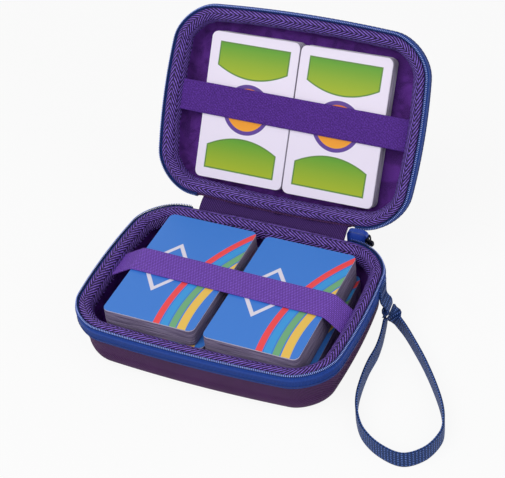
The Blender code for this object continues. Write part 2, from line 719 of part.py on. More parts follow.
def build():
    clear_scene()
    looks = {
        "shell": make_material("twill_nylon", (0.052, 0.018, 0.075), 0.85),
        "lining": make_material("napped_lining", (0.130, 0.035, 0.230), 0.95),
        "binding": make_material("herringbone_binding", (0.130, 0.050, 0.270), 0.80),
        "tape": make_material("zip_tape", (0.015, 0.055, 0.340), 0.75),
        "coil": make_material("nylon_coil", (0.020, 0.060, 0.420), 0.45),
        "elastic": make_material("woven_elastic", (0.150, 0.045, 0.330), 0.85),
        "blue_card": make_material("blue_card", (0.045, 0.180, 0.550), 0.40),
        "white_card": make_material("white_card", (0.740, 0.690, 0.800), 0.40),
        "metal": make_material("dark_nickel", (0.120, 0.120, 0.140), 0.35, 1.0),
        "moulded": make_material("moulded_pull", (0.022, 0.070, 0.370), 0.45),
        "webbing": make_material("woven_webbing", (0.030, 0.085, 0.300), 0.80),
    }
    lid_axis = make_empty("lid_axis", (0.0, HINGE_AXIS_Y, HINGE_AXIS_Z), (-LID_OPEN_ANGLE, 0.0, 0.0))
    build_half("base", base_point, BASE_DEPTH, None, looks)
    build_half("lid", lid_point, LID_DEPTH, lid_axis, looks)
    build_contents(looks, lid_axis)
    make_object("hinge_fabric", hinge_fabric(), looks["shell"])
    build_puller(looks)
    make_object("strap_tab", strap_tab(), looks["webbing"])
    make_object("wrist_strap", wrist_strap(), looks["webbing"])


build()
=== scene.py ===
"""Zip-up hard case for playing cards: its fabrics, zip, straps and decks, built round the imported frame.

Lengths are in metres. A place on a half of the case is given by its plan position and its depth
below the plane where the two zip chains meet. The weave maps of all cloth pieces are in millimetres.
"""

import json
import math
import random

import bpy
from mathutils import Matrix, Vector


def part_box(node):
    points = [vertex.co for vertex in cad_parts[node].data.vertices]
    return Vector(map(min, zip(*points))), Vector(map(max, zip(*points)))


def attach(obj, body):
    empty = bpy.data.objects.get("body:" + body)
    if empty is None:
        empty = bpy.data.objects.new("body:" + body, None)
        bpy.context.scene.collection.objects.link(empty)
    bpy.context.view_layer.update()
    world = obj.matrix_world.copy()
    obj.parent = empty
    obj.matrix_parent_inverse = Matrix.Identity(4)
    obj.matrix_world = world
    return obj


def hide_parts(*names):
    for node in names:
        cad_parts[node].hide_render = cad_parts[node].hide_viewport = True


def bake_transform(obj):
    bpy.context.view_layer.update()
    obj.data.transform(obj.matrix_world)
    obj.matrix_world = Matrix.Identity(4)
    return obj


bl_info = {
    "name": "Card Case Builder",
    "version": (1, 0, 0),
    "blender": (4, 5, 0),
    "location": "View3D > Sidebar > Card Case",
    "description": "Builds the fabrics, zip, straps and decks of a zip-up card case",
    "category": "Object",
}

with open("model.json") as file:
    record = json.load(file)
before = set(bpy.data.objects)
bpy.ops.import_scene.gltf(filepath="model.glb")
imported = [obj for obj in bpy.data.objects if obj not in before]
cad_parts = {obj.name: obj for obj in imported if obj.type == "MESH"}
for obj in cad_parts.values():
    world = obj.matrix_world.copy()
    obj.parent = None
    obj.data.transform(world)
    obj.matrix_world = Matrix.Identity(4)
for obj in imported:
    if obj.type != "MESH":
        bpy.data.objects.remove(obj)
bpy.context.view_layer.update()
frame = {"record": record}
MM = 0.001

JOINTS = {joint["name"]: joint for joint in frame["record"]["behaviour"]["joints"]}
HINGE = Vector(JOINTS["lid_hinge"]["pos_m"])
LID_ANGLE = math.radians(JOINTS["lid_hinge"]["range_deg"][0])
CORNER = Vector(JOINTS["zip_travel"]["pos_m"])
RIVET = Vector(JOINTS["pull_swing"]["pos_m"])
LID_TURN = Matrix.Rotation(LID_ANGLE, 3, "X")

# Rim outline, over the outer face of the zip tape
CORNER_RADIUS = 0.0220
TAPE_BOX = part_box("base_zip_tape")
SIDE_BOW_X = TAPE_BOX[1][0] - CORNER.x - CORNER_RADIUS
SIDE_BOW_Y = -TAPE_BOX[0][1] - CORNER.y - CORNER_RADIUS
BASE_DEPTH = HINGE.z
LID_DEPTH = 0.0225
REAR_END_X = CORNER.x - 0.0043
STATION_SPACING = 0.0035
CORNER_STEPS = 14
HINGE_CLOTH_REACH = 0.0464

# Shell and lining
SHELL_INSET = 0.0012
SHELL_WALL = 0.0030
SHELL_RIM_DEPTH = 0.0025
WALL_STRAIGHT_DEPTH = 0.0103
WALL_DRAFT = math.radians(12)
FOOT_RADIUS = 0.0105
FOOT_STEPS = 10
LINING_INSET = 0.0045
LINING_THICKNESS = 0.0008
FLOOR_SHARES = (0.75, 0.5, 0.25, 0.0)

# Binding
BINDING_CREST = (0.0048, 0.0004)
BINDING_FOOT_WIDTH = 0.0025
BINDING_FOOT_DEPTH = 0.0022
BINDING_ROLL_WIDTH = 0.0055
BINDING_DROP = 0.0082
BINDING_THICKNESS = 0.0014
BINDING_STEPS = 12
BINDING_BACK_INSET = 0.0056
BINDING_CREASE = 0.0007
BINDING_SPACING = 0.0010

# Zip
TAPE_TOP_DEPTH = 0.0020
TAPE_FOOT_DEPTH = 0.0100
TAPE_THICKNESS = 0.0009
COIL_INSET = 0.0011
COIL_DEPTH = 0.0011
COIL_RADIUS = 0.00058
COIL_WIRE_RADIUS = 0.00024
COIL_SAMPLES = 8
THREAD_RADIUS = 0.00016
STITCH_SAMPLES = 8

# Slider, link, rivet and pull tab, in the frame of their solids
SLIDER_TURN = math.radians(19)
SLIDER_PLACE = Vector((0.06207, 0.05537, 0.0350))
TAB_LOW = Vector((0.0477, 0.0586, 0.0115))
TAB_HIGH = Vector((0.0599, 0.0610, 0.0386))
TAB_CORNER = 0.0030

# Tab of the wrist strap, from its anchor on the tape outwards and upwards
ANCHOR_Y = 0.0265
ANCHOR_Z = 0.0247
STRAP_TAB_REACH = 0.00395
STRAP_TAB_DROP = 0.0094
STRAP_TAB_FOLD_RADIUS = 0.00115
STRAP_TAB_FOLD = ((0.0007, 0.0078), (0.0007, 0.0040), (0.0008, 0.0), (0.0018, -0.0024), (0.0036, -0.0047))

# Elastic straps
STRAP_THICKNESS = 0.0012
STRAP_WIDTH = 0.0185
STRAP_BEAD_HEIGHT = 0.00022
STRAP_END_INSET = 0.0085
STRAP_END_DEPTH = 0.0068

# Cards
CARD_WIDTH = 0.0560
CARD_LENGTH = 0.0870
CARD_CORNER = 0.0035
CARD_CORNER_STEPS = 6
CARD_THICKNESS = 0.00031
CARD_GROOVE = 0.00012

# Wrist strap: the same route as the frame's solid
WEBBING_WIDTH = 0.0100
WEBBING_THICKNESS = 0.0013
WEBBING_SAMPLES = 160
TWIST_START = 0.0085
WEBBING_ROUTE = (
    (0.0823, 0.0262, 0.0142),
    (0.0823, 0.0258, 0.0118),
    (0.0826, 0.0236, 0.0090),
    (0.0834, 0.0182, 0.0068),
    (0.0845, 0.0106, 0.0058),
    (0.0852, 0.0012, 0.0054),
    (0.0848, -0.0107, 0.0054),
    (0.0857, -0.0235, 0.0054),
    (0.0877, -0.0355, 0.0054),
    (0.0917, -0.0460, 0.0054),
    (0.0989, -0.0565, 0.0054),
    (0.1105, -0.0641, 0.0054),
    (0.1239, -0.0665, 0.0054),
    (0.1335, -0.0586, 0.0054),
    (0.1376, -0.0467, 0.0054),
    (0.1365, -0.0373, 0.0054),
    (0.1321, -0.0264, 0.0054),
    (0.1239, -0.0131, 0.0054),
    (0.1133, 0.0015, 0.0054),
    (0.1028, 0.0140, 0.0056),
    (0.0950, 0.0222, 0.0064),
    (0.0890, 0.0266, 0.0084),
    (0.0856, 0.0281, 0.0116),
    (0.0850, 0.0282, 0.0142),
)

# Camera at the photograph's viewing angle
CAMERA_PLACE = Vector((0.2999, -0.5330, 0.5812))
CAMERA_TARGET = Vector((0.01441, 0.00560, 0.06645))
CAMERA_ROLL = math.radians(-6.599)
CAMERA_LENS = 104.56


# Places on the case

def on_base(x, y, depth):
    return Vector((x, y, BASE_DEPTH - depth))


def on_lid(x, y, depth):
    return HINGE + LID_TURN @ Vector((x, y - HINGE.y, depth))


HALVES = {"base": (on_base, BASE_DEPTH), "lid": (on_lid, LID_DEPTH)}


def spread(start, end, steps):
    return [start + (end - start) * step / steps for step in range(steps)]


def rim_stations(end_x, spacing=STATION_SPACING):
    """Stations from the rear right at end_x, clockwise round the front, to the rear left."""
    rear_steps = max(1, round((CORNER.x - end_x) / spacing))
    stations = [(x, CORNER.y, 0.0, 1.0) for x in spread(end_x, CORNER.x, rear_steps)]
    long_steps, short_steps = round(2 * CORNER.x / spacing), round(2 * CORNER.y / spacing)
    for sign_x, sign_y, start in ((1, 1, 90), (1, -1, 0), (-1, -1, -90), (-1, 1, -180)):
        for step in range(CORNER_STEPS + 1):
            angle = math.radians(start - 90 * step / CORNER_STEPS)
            stations.append((sign_x * CORNER.x, sign_y * CORNER.y, math.cos(angle), math.sin(angle)))
        if (sign_x, sign_y) == (1, 1):
            side = [(CORNER.x, y, 1.0, 0.0) for y in spread(CORNER.y, -CORNER.y, short_steps)]
        elif (sign_x, sign_y) == (1, -1):
            side = [(x, -CORNER.y, 0.0, -1.0) for x in spread(CORNER.x, -CORNER.x, long_steps)]
        elif (sign_x, sign_y) == (-1, -1):
            side = [(-CORNER.x, y, -1.0, 0.0) for y in spread(-CORNER.y, CORNER.y, short_steps)]
        else:
            side = [(x, CORNER.y, 0.0, 1.0) for x in spread(-CORNER.x, -end_x, rear_steps)]
        stations += side[1:]
    if end_x:
        stations.append((-end_x, CORNER.y, 0.0, 1.0))
    return stations


def rim_point(station, inset):
    """Plan position at an inset from the outer face of the tape, with the sides bowed outwards."""
    centre_x, centre_y, out_x, out_y = station
    x, y = centre_x + out_x * CORNER_RADIUS, centre_y + out_y * CORNER_RADIUS
    half_x, half_y = CORNER.x + CORNER_RADIUS, CORNER.y + CORNER_RADIUS
    bow_x = math.copysign(SIDE_BOW_X * (1 - (y / half_y) ** 2) * abs(x / half_x) ** 3, x)
    bow_y = math.copysign(SIDE_BOW_Y * (1 - (x / half_x) ** 2) * abs(y / half_y) ** 3, y)
    return x + bow_x - out_x * inset, y + bow_y - out_y * inset


def lengths(points):
    """Running length along points, in millimetres."""
    total, found = 0.0, [0.0]
    for first, second in zip(points, points[1:]):
        total += (Vector(second) - Vector(first)).length / MM
        found.append(total)
    return found


def smooth_path(points, samples):
    """Points along a smooth curve through the given points."""
    knots = [Vector(point) for point in points]
    knots = [2 * knots[0] - knots[1]] + knots + [2 * knots[-1] - knots[-2]]
    path = []
    for sample in range(samples + 1):
        place = (len(knots) - 3) * sample / samples
        i = min(int(place), len(knots) - 4)
        t = place - i
        a, b, c, d = knots[i : i + 4]
        bend = (2 * a - 5 * b + 4 * c - d) * t**2 + (3 * b - a - 3 * c + d) * t**3
        path.append((2 * b + (c - a) * t + bend) / 2)
    return path


def even_path(points, samples):
    """Points evenly spaced along a smooth curve through the given points."""
    fine = smooth_path(points, samples * 8)
    run = lengths(fine)
    path, i = [], 0
    for sample in range(samples + 1):
        goal = run[-1] * sample / samples
        while i < len(fine) - 2 and run[i + 1] < goal:
            i += 1
        share = (goal - run[i]) / (run[i + 1] - run[i])
        path.append(fine[i].lerp(fine[i + 1], min(max(share, 0.0), 1.0)))
    return path


# Modelling

def in_edit_mode(piece, *steps):
    """Runs modelling steps on all of a piece in edit mode. A step is an operator with its settings."""
    bpy.context.view_layer.objects.active = piece
    bpy.ops.object.mode_set(mode="EDIT")
    bpy.ops.mesh.select_all(action="SELECT")
    for operator, settings in steps:
        operator(**settings)
    bpy.ops.object.mode_set(mode="OBJECT")


def loft(name, rows, weave, ring=False, wrap=False, caps=True):
    """A grid laid over rows of points. ring closes each row, wrap joins the last row to the first."""
    if ring:
        rows = [row + row[:1] for row in rows]
    if wrap:
        rows = rows + rows[:1]
    bpy.ops.object.select_all(action="DESELECT")
    bpy.ops.mesh.primitive_grid_add(x_subdivisions=len(rows[0]) - 1, y_subdivisions=len(rows) - 1)
    piece = bpy.context.object
    piece.name = name
    piece.data.vertices.foreach_set("co", [value for row in rows for point in row for value in point])
    layer = piece.data.uv_layers[0]
    layer.name = "weave"
    places = [place for row in weave for place in row]
    for loop in piece.data.loops:
        layer.data[loop.index].uv = places[loop.vertex_index]
    in_edit_mode(piece, (bpy.ops.mesh.remove_doubles, {"threshold": 0.002 * MM}))
    if caps:
        in_edit_mode(
            piece,
            (bpy.ops.mesh.select_all, {"action": "DESELECT"}),
            (bpy.ops.mesh.select_non_manifold, {}),
            (bpy.ops.mesh.fill_holes, {"sides": 0}),
        )
    in_edit_mode(piece, (bpy.ops.mesh.normals_make_consistent, {"inside": False}))
    return piece


def plain_weave(along, across):
    return [[(u, v) for u in along] for v in across]


def modify(piece, kind, **settings):
    """Adds a modifier and applies it."""
    modifier = piece.modifiers.new(kind.title(), kind)
    for key, value in settings.items():
        setattr(modifier, key, value)
    bpy.context.view_layer.objects.active = piece
    bpy.ops.object.modifier_apply(modifier=modifier.name)


def join(name, pieces):
    """Joins pieces into the first one."""
    bpy.ops.object.select_all(action="DESELECT")
    for piece in pieces:
        piece.select_set(True)
    bpy.context.view_layer.objects.active = pieces[0]
    bpy.ops.object.join()
    pieces[0].name = name
    return pieces[0]


def settle(piece, body, slot, material, *nodes, angle=40):
    """Shades a finished piece, gives it its material, ties it to its body and hides the CAD nodes that it replaces.
    """
    bpy.ops.object.select_all(action="DESELECT")
    piece.select_set(True)
    bpy.context.view_layer.objects.active = piece
    bpy.ops.object.shade_smooth_by_angle(angle=math.radians(angle))
    if material is not None:
        piece.data.materials.clear()
        piece.data.materials.append(material)
    if body:
        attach(piece, body)
    if nodes:
        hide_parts(*nodes)
    return piece


def rim_sweep(name, half, section, stations, ring, wrap=True, wave=None):
    """A section of (inset, depth) points swept along the rim."""
    outline = [Vector((*rim_point(station, 0.0), 0.0)) for station in stations]
    along = lengths(outline + outline[:1]) if ring else lengths(outline)
    rows = []
    for j, (inset, depth) in enumerate(section):
        row = []
        for i, station in enumerate(stations):
            change = wave(j, along[i], station) if wave else (0.0, 0.0)
            row.append(half(*rim_point(station, inset + change[0]), depth + change[1]))
        rows.append(row)
    closed = section + section[:1] if wrap else section
    across = lengths([(inset, depth, 0.0) for inset, depth in closed])
    return loft(name, rows, plain_weave(along, across), ring=ring, wrap=wrap, caps=not ring)


def ribbon(name, path, across, thickness, beads=()):
    """A strap along a path. across holds the vector from its middle to its edge at each point."""
    half_width = across[0].length
    shares = [-1.0, -0.97, -0.88, -0.8, -0.72, -0.5, -0.25, 0.0, 0.25, 0.5, 0.72, 0.8, 0.88, 0.97, 1.0]
    top = [(share, 0.5 if abs(share) < 0.99 else 0.2, bead_height(share, beads)) for share in shares]
    bottom = [(share, -0.5 if abs(share) < 0.99 else -0.2, 0.0) for share in reversed(shares)]
    section = top + bottom
    rows = []
    for share, level, extra in section:
        row = []
        for i, (point, half) in enumerate(zip(path, across)):
            ahead = path[min(i + 1, len(path) - 1)] - path[max(i - 1, 0)]
            lift = ahead.cross(half).normalized()
            row.append(point + half * share + lift * (level * thickness + extra))
        rows.append(row)
    run = [(share * half_width, level * thickness, 0.0) for share, level, extra in section]
    width_map = lengths(run + run[:1])
    return loft(name, rows, plain_weave(lengths(path), width_map), wrap=True)


def bead_height(share, beads):
    return beads[1] if beads and abs(abs(share) - beads[0]) < 0.05 else 0.0


# Materials

def colour(code):
    """Linear colour of an sRGB hex code."""
    channels = [int(code[i : i + 2], 16) / 255 for i in (1, 3, 5)]
    return (*(c / 12.92 if c <= 0.04045 else ((c + 0.055) / 1.055) ** 2.4 for c in channels), 1.0)


def tone(dye, level, white=0.0):
    """Linear colour of a dye at a level of brightness, with some white added as a painted shine on the fibres."""
    return (*(min(1.0, channel * level + white) for channel in dye[:3]), 1.0)


def chosen():
    """The sizes and colours that the sidebar holds."""
    return bpy.context.scene.card_case


def add(material, kind, inputs=(), give=0, stops=(), **settings):
    """Adds a node with its settings and returns one of its outputs.

    Inputs go by place or by name, and each is a number, a hex code or another node's output.
    stops are the places and hex codes of a colour ramp.
    """
    node = material.node_tree.nodes.new("ShaderNode" + kind)
    for key, value in settings.items():
        setattr(node, key, value)
    for key, value in inputs.items() if isinstance(inputs, dict) else enumerate(inputs):
        if isinstance(value, bpy.types.NodeSocket):
            material.node_tree.links.new(value, node.inputs[key])
        else:
            node.inputs[key].default_value = colour(value) if isinstance(value, str) else value
    for i, (place, code) in enumerate(stops):
        stop = node.color_ramp.elements[i] if i < 2 else node.color_ramp.elements.new(place)
        stop.position, stop.color = place, colour(code) if isinstance(code, str) else code
    return node.outputs[give]


# Makers of materials. All lengths on their weave maps are in millimetres.

def new_material(name):
    material = bpy.data.materials.new(name)
    material.use_nodes = True
    return material


def finish_material(material, surface, roughness, height=None, relief=0.1, **levels):
    """Gives the shader its colour, roughness and bumps. relief is the height of the bumps in mm."""
    shader = material.node_tree.nodes["Principled BSDF"]
    sources = {"Base Color": surface, "Roughness": roughness}
    if height is not None:
        sources["Normal"] = add(material, "Bump", {"Height": height, "Distance": relief * MM, "Strength": 1.0})
    for socket, source in sources.items():
        if isinstance(source, bpy.types.NodeSocket):
            material.node_tree.links.new(source, shader.inputs[socket])
        else:
            shader.inputs[socket].default_value = source
    for socket, value in levels.items():
        shader.inputs[socket.replace("_", " ")].default_value = colour(value) if isinstance(value, str) else value
    return material


def weave_place(material):
    """The place on the weave map in mm, with its along and across parts."""
    place = add(material, "UVMap", uv_map="weave")
    return place, add(material, "SeparateXYZ", (place,)), add(material, "SeparateXYZ", (place,), give=1)


def ribs(material, place, pitch, start=0.0):
    """Rounded ribs of one pitch across a place, from 0 between them to 1 on top. One tops out at start."""
    turn = add(material, "Math", (place, 2 * math.pi / pitch, -2 * math.pi * start / pitch), operation="MULTIPLY_ADD")
    wave = add(material, "Math", (turn,), operation="COSINE")
    return add(material, "Math", (wave, 0.5, 0.5), operation="MULTIPLY_ADD")


def slanted(material, along, across, degrees):
    """Place across lines that lean by an angle from the along direction."""
    angle = math.radians(degrees)
    first = add(material, "Math", (along, math.sin(angle)), operation="MULTIPLY")
    return add(material, "Math", (across, math.cos(angle), first), operation="MULTIPLY_ADD")


def twill_nylon():
    """Nylon twill laminated to foam: fine diagonal cords, dull, with painted shine on their crowns (a much lighter
    tone of the dye) and a reddish sheen from the shader.
    """
    material = new_material("twill_nylon_laminated")
    place, along, across = weave_place(material)
    cords = ribs(material, slanted(material, along, across, 42), 1.3)
    yarns = ribs(material, slanted(material, along, across, -48), 0.9)
    relief = add(material, "Math", (yarns, 0.25, cords), operation="MULTIPLY_ADD")
    grain = add(material, "TexNoise", {"Vector": place, "Scale": 1.6})
    cloud = add(material, "TexNoise", {"Vector": place, "Scale": 0.05})
    dye = chosen().shell_colour
    ground = add(material, "ValToRGB", (cloud,), stops=((0.35, tone(dye, 0.6)), (0.65, tone(dye, 0.85))))
    shade = add(material, "Math", (relief, grain), operation="MULTIPLY")
    # painted shine: the crowns of the cords are mixed towards a much lighter tone of the dye
    painted_sheen = add(material, "MapRange", (shade, 0.15, 0.8))
    surface = add(material, "Mix", {0: painted_sheen, 6: ground, 7: tone(dye, 1.9)}, give=2, data_type="RGBA")
    levels = {"Specular_IOR_Level": 0.2, "Sheen_Weight": 0.06, "Sheen_Tint": "#a04a90"}
    return finish_material(material, surface, 0.7, relief, 0.2, **levels)


def herringbone():
    """Woven polyester herringbone tape: silky slanted cords that turn back every few mm, with painted highlights on
    their crowns and painted shade between them.
    """
    material = new_material("herringbone_tape")
    place, along, across = weave_place(material)
    column = add(material, "Math", (add(material, "Math", (across, 0.4)), 4.6), operation="PINGPONG")
    slant = slanted(material, along, column, 29)
    cords = ribs(material, slant, 1.4)
    twist = ribs(material, slanted(material, along, column, -45), 0.7)
    edge = add(material, "Math", (column, 2.3), operation="SUBTRACT")
    edge = add(material, "Math", (edge,), operation="ABSOLUTE")
    edge = add(material, "MapRange", (edge, 1.9, 2.3, 1.0, 0.55))
    wear = add(material, "TexNoise", {"Vector": place, "Scale": 0.55, "Detail": 3.0})
    wear = add(material, "MapRange", (wear, 0.3, 0.7, 0.6, 1.2))
    height = add(material, "Math", (twist, 0.3, 0.7), operation="MULTIPLY_ADD")
    height = add(material, "Math", (height, cords), operation="MULTIPLY")
    height = add(material, "Math", (height, edge), operation="MULTIPLY")
    shade = add(material, "Math", (height, wear), operation="MULTIPLY")
    dye = chosen().binding_colour
    # painted shade in the gaps and turn lines, and painted highlights with added white on the crowns of the cords
    stops = ((0.15, tone(dye, 0.12)), (0.42, tone(dye, 0.8)), (0.8, tone(dye, 2.9, 0.12)))
    surface = add(material, "ValToRGB", (shade,), stops=stops)
    levels = {"Specular_IOR_Level": 0.25, "Sheen_Weight": 0.04, "Sheen_Tint": "#8050c0"}
    return finish_material(material, surface, 0.5, height, 0.45, **levels)


def zip_tape():
    """Knitted polyester zip tape: fine ribs across it, with painted shade between the ribs and a painted highlight on
    the rounded bead next to the coil.
    """
    material = new_material("knitted_zip_tape")
    place, along, across = weave_place(material)
    fine = ribs(material, along, 0.75)
    rows = ribs(material, across, 0.95)
    height = add(material, "Math", (rows, 0.5, fine), operation="MULTIPLY_ADD")
    speckle = add(material, "TexNoise", {"Vector": place, "Scale": 1.2})
    shade = add(material, "Math", (height, speckle), operation="MULTIPLY")
    dye = chosen().tape_colour
    # painted shade between the ribs, lighter on their crowns
    weave = add(material, "ValToRGB", (shade,), stops=((0.2, tone(dye, 0.55)), (0.9, tone(dye, 1.2))))
    # painted highlight on the rounded bead just under the coil
    cord_highlight = add(material, "Math", (across, -3.6))
    cord_highlight = add(material, "Math", (cord_highlight,), operation="ABSOLUTE")
    cord_highlight = add(material, "MapRange", (cord_highlight, 0.4, 1.5, 0.4, 0.0))
    surface = add(material, "Mix", {0: cord_highlight, 6: weave, 7: tone(dye, 1.5)}, give=2, data_type="RGBA")
    return finish_material(material, surface, 0.6, height, 0.12, Specular_IOR_Level=0.2)


def nylon_coil():
    """Nylon monofilament wound into a coil: glossy, each turn with a painted highlight where it faces out and painted
    shade between the turns.
    """
    material = new_material("nylon_coil_dyed")
    place, along, across = weave_place(material)
    pitch = chosen().coil_pitch / MM
    turn = ribs(material, along, pitch, 0.62 * pitch)
    dye = chosen().coil_colour
    # painted shade between the turns and a painted highlight with added white where each turn faces out
    stops = ((0.5, tone(dye, 0.15)), (0.78, tone(dye, 0.7)), (0.93, tone(dye, 1.8, 0.3)))
    surface = add(material, "ValToRGB", (turn,), stops=stops)
    return finish_material(material, surface, 0.35, Specular_IOR_Level=0.4)


def sewing_thread():
    """Twisted polyester sewing thread, darker than the tape that it holds."""
    material = new_material("sewing_thread_navy")
    place, along, across = weave_place(material)
    twist = ribs(material, slanted(material, along, across, 50), 0.35)
    # painted shade between the strands of the twist, lighter on their crowns
    surface = add(material, "ValToRGB", (twist,), stops=((0.2, "#0f2156"), (0.9, "#27468f")))
    return finish_material(material, surface, 0.6, twist, 0.03)


def velvet():
    """Napped tricot lining: a short pile, brushed into lighter and darker patches, with painted sheen on flecks of
    the pile.
    """
    material = new_material("napped_tricot")
    place, along, across = weave_place(material)
    patches = add(material, "TexNoise", {"Vector": place, "Scale": 0.11, "Detail": 3.0, "Distortion": 0.6})
    dye = chosen().lining_colour
    nap = add(material, "ValToRGB", (patches,), stops=((0.4, tone(dye, 0.65)), (0.6, tone(dye, 1.3))))
    pile = add(material, "TexNoise", {"Vector": place, "Scale": 2.2, "Detail": 3.0})
    # painted sheen: flecks where the pile stands high are mixed towards a much lighter tone of the dye
    painted_sheen = add(material, "MapRange", (pile, 0.4, 0.75, 0.0, 0.6))
    surface = add(material, "Mix", {0: painted_sheen, 6: nap, 7: tone(dye, 1.9)}, give=2, data_type="RGBA")
    levels = {"Specular_IOR_Level": 0.2, "Sheen_Weight": 0.3, "Sheen_Tint": "#9058d0"}
    return finish_material(material, surface, 0.9, pile, 0.2, **levels)


def felt_elastic():
    """Brushed loop elastic: matted fibres over a slanted weave, with pressed dimples."""
    material = new_material("brushed_loop_elastic")
    place, along, across = weave_place(material)
    slant = ribs(material, slanted(material, along, across, 35), 1.4)
    fibres = add(material, "TexNoise", {"Vector": place, "Scale": 1.3, "Detail": 4.0, "Distortion": 0.4})
    fine = add(material, "TexNoise", {"Vector": place, "Scale": 3.2})
    height = add(material, "Math", (fine, 0.6, fibres), operation="MULTIPLY_ADD")
    height = add(material, "Math", (slant, 0.08, height), operation="MULTIPLY_ADD")
    dye = chosen().strap_colour
    # the colour follows the height: painted shade in the dimples and low fibres, lighter on the raised ones
    stops = ((0.6, tone(dye, 0.5)), (0.85, tone(dye, 0.8)), (1.05, tone(dye, 1.3)))
    surface = add(material, "ValToRGB", (height,), stops=stops)
    levels = {"Specular_IOR_Level": 0.15, "Sheen_Weight": 0.05, "Sheen_Tint": "#9060d0"}
    return finish_material(material, surface, 0.85, height, 0.25, **levels)


def ribbed_elastic():
    """Woven rib elastic: close ribs along the strap, broken into short knots, with painted silky shine on the knots
    and painted shade between the ribs.
    """
    material = new_material("woven_rib_elastic")
    place, along, across = weave_place(material)
    rows = ribs(material, across, 1.15)
    knots = ribs(material, slanted(material, along, across, 68), 1.5)
    weave = add(material, "Math", (knots, 0.55, 0.45), operation="MULTIPLY_ADD")
    weave = add(material, "Math", (weave, rows), operation="MULTIPLY")
    wear = add(material, "TexNoise", {"Vector": place, "Scale": 0.8, "Detail": 3.0})
    wear = add(material, "MapRange", (wear, 0.3, 0.7, 0.6, 1.2))
    shade = add(material, "Math", (weave, wear), operation="MULTIPLY")
    dye = chosen().strap_colour
    # painted shade between the ribs, painted shine with added white on the knots
    stops = ((0.05, tone(dye, 0.9, 0.01)), (0.4, tone(dye, 1.65, 0.02)), (0.9, tone(dye, 2.6, 0.07)))
    surface = add(material, "ValToRGB", (shade,), stops=stops)
    levels = {"Specular_IOR_Level": 0.2, "Sheen_Weight": 0.05, "Sheen_Tint": "#9060d0"}
    return finish_material(material, surface, 0.6, weave, 0.3, **levels)


def hinge_cloth():
    """Twill hinge cloth, softer and more violet than the shell's, kept dark as painted shade for the shadow under the
    lid's binding, with painted shade in the grooves of its twill.
    """
    material = new_material("twill_hinge_cloth")
    place, along, across = weave_place(material)
    cords = ribs(material, slanted(material, along, across, 45), 1.1)
    grain = add(material, "TexNoise", {"Vector": place, "Scale": 1.3, "Detail": 3.0})
    shade = add(material, "Math", (cords, grain), operation="MULTIPLY")
    dye = chosen().hinge_dye_and_shade
    # painted shade: low levels for the shadow under the lid's binding, and darker in the twill's grooves
    surface = add(material, "ValToRGB", (shade,), stops=((0.08, tone(dye, 0.4)), (0.6, tone(dye, 1.3))))
    levels = {"Specular_IOR_Level": 0.15, "Sheen_Weight": 0.05, "Sheen_Tint": "#9060d0"}
    return finish_material(material, surface, 0.75, cords, 0.12, **levels)


def webbing():
    """Plain woven polypropylene webbing: a check of raised yarns, with painted highlights on their crowns and painted
    shade in the gaps.
    """
    material = new_material("woven_webbing")
    place, along, across = weave_place(material)
    lengthways = ribs(material, across, 1.4)
    crossways = ribs(material, along, 1.9)
    crowns = add(material, "Math", (lengthways, crossways), operation="MULTIPLY")
    wear = add(material, "TexNoise", {"Vector": place, "Scale": 0.9})
    wear = add(material, "MapRange", (wear, 0.25, 0.75, 0.6, 1.2))
    shade = add(material, "Math", (crowns, wear), operation="MULTIPLY")
    dye = chosen().webbing_colour
    # painted shade in the gaps, painted highlight with added white on the crowns
    stops = ((0.08, tone(dye, 0.35)), (0.45, tone(dye, 1.0)), (0.85, tone(dye, 2.0, 0.12)))
    surface = add(material, "ValToRGB", (shade,), stops=stops)
    return finish_material(material, surface, 0.55, crowns, 0.3, Specular_IOR_Level=0.2)


def dark_nickel():
    """Black nickel plating on a zinc casting, lightly scuffed."""
    material = new_material("black_nickel_plating")
    place = add(material, "TexCoord", give=3)
    scuffs = add(material, "TexNoise", {"Vector": place, "Scale": 0.8 / MM, "Detail": 4.0})
    roughness = add(material, "MapRange", (scuffs, 0.4, 0.7, 0.22, 0.42))
    surface = add(material, "ValToRGB", (scuffs,), stops=((0.3, "#1c1c24"), (0.8, "#3a3a46")))
    return finish_material(material, surface, roughness, Metallic=1.0)


def moulded_pull():
    """Injection moulded soft PVC, glossy, with a fine spark texture."""
    material = new_material("moulded_soft_pvc")
    place = add(material, "TexCoord", give=3)
    texture = add(material, "TexNoise", {"Vector": place, "Scale": 2.5 / MM, "Detail": 3.0})
    roughness = add(material, "MapRange", (texture, 0.3, 0.7, 0.28, 0.4))
    dye = chosen().pull_colour
    surface = add(material, "ValToRGB", (texture,), stops=((0.3, tone(dye, 0.85)), (0.7, tone(dye, 1.1))))
    return finish_material(material, surface, roughness, texture, 0.02)


def card_edges(name, dark, light):
    """Cut edges of coated board: each card a little lighter or darker than the next, the top two pale: the board's
    white core with a painted highlight where the face edge catches light.
    """
    material = new_material(name)
    place, along, across = weave_place(material)
    sheet = add(material, "Math", (across, CARD_THICKNESS / MM), operation="SNAP")
    run = add(material, "Math", (along, 0.02), operation="MULTIPLY")
    spot = add(material, "CombineXYZ", (run, sheet))
    streak = add(material, "TexNoise", {"Vector": spot, "Scale": 2.7, "Detail": 1.0})
    surface = add(material, "ValToRGB", (streak,), stops=((0.3, dark), (0.7, light)))
    # the top two cards' edges: the board's white core, partly a painted highlight
    top = add(material, "Math", (across, 2 * CARD_THICKNESS / MM), operation="LESS_THAN")
    surface = add(material, "Mix", {0: top, 6: surface, 7: "#e6e0ee"}, give=2, data_type="RGBA")
    return finish_material(material, surface, 0.5)


def board_edges_grey_shaded():
    # grey-purple tones darkened as painted shade on the sides of the blue decks
    return card_edges("board_edges_grey_shaded", "#5c5070", "#a79bb8")


def board_edges_white():
    return card_edges("board_edges_white", "#8f879c", "#d8d2e2")


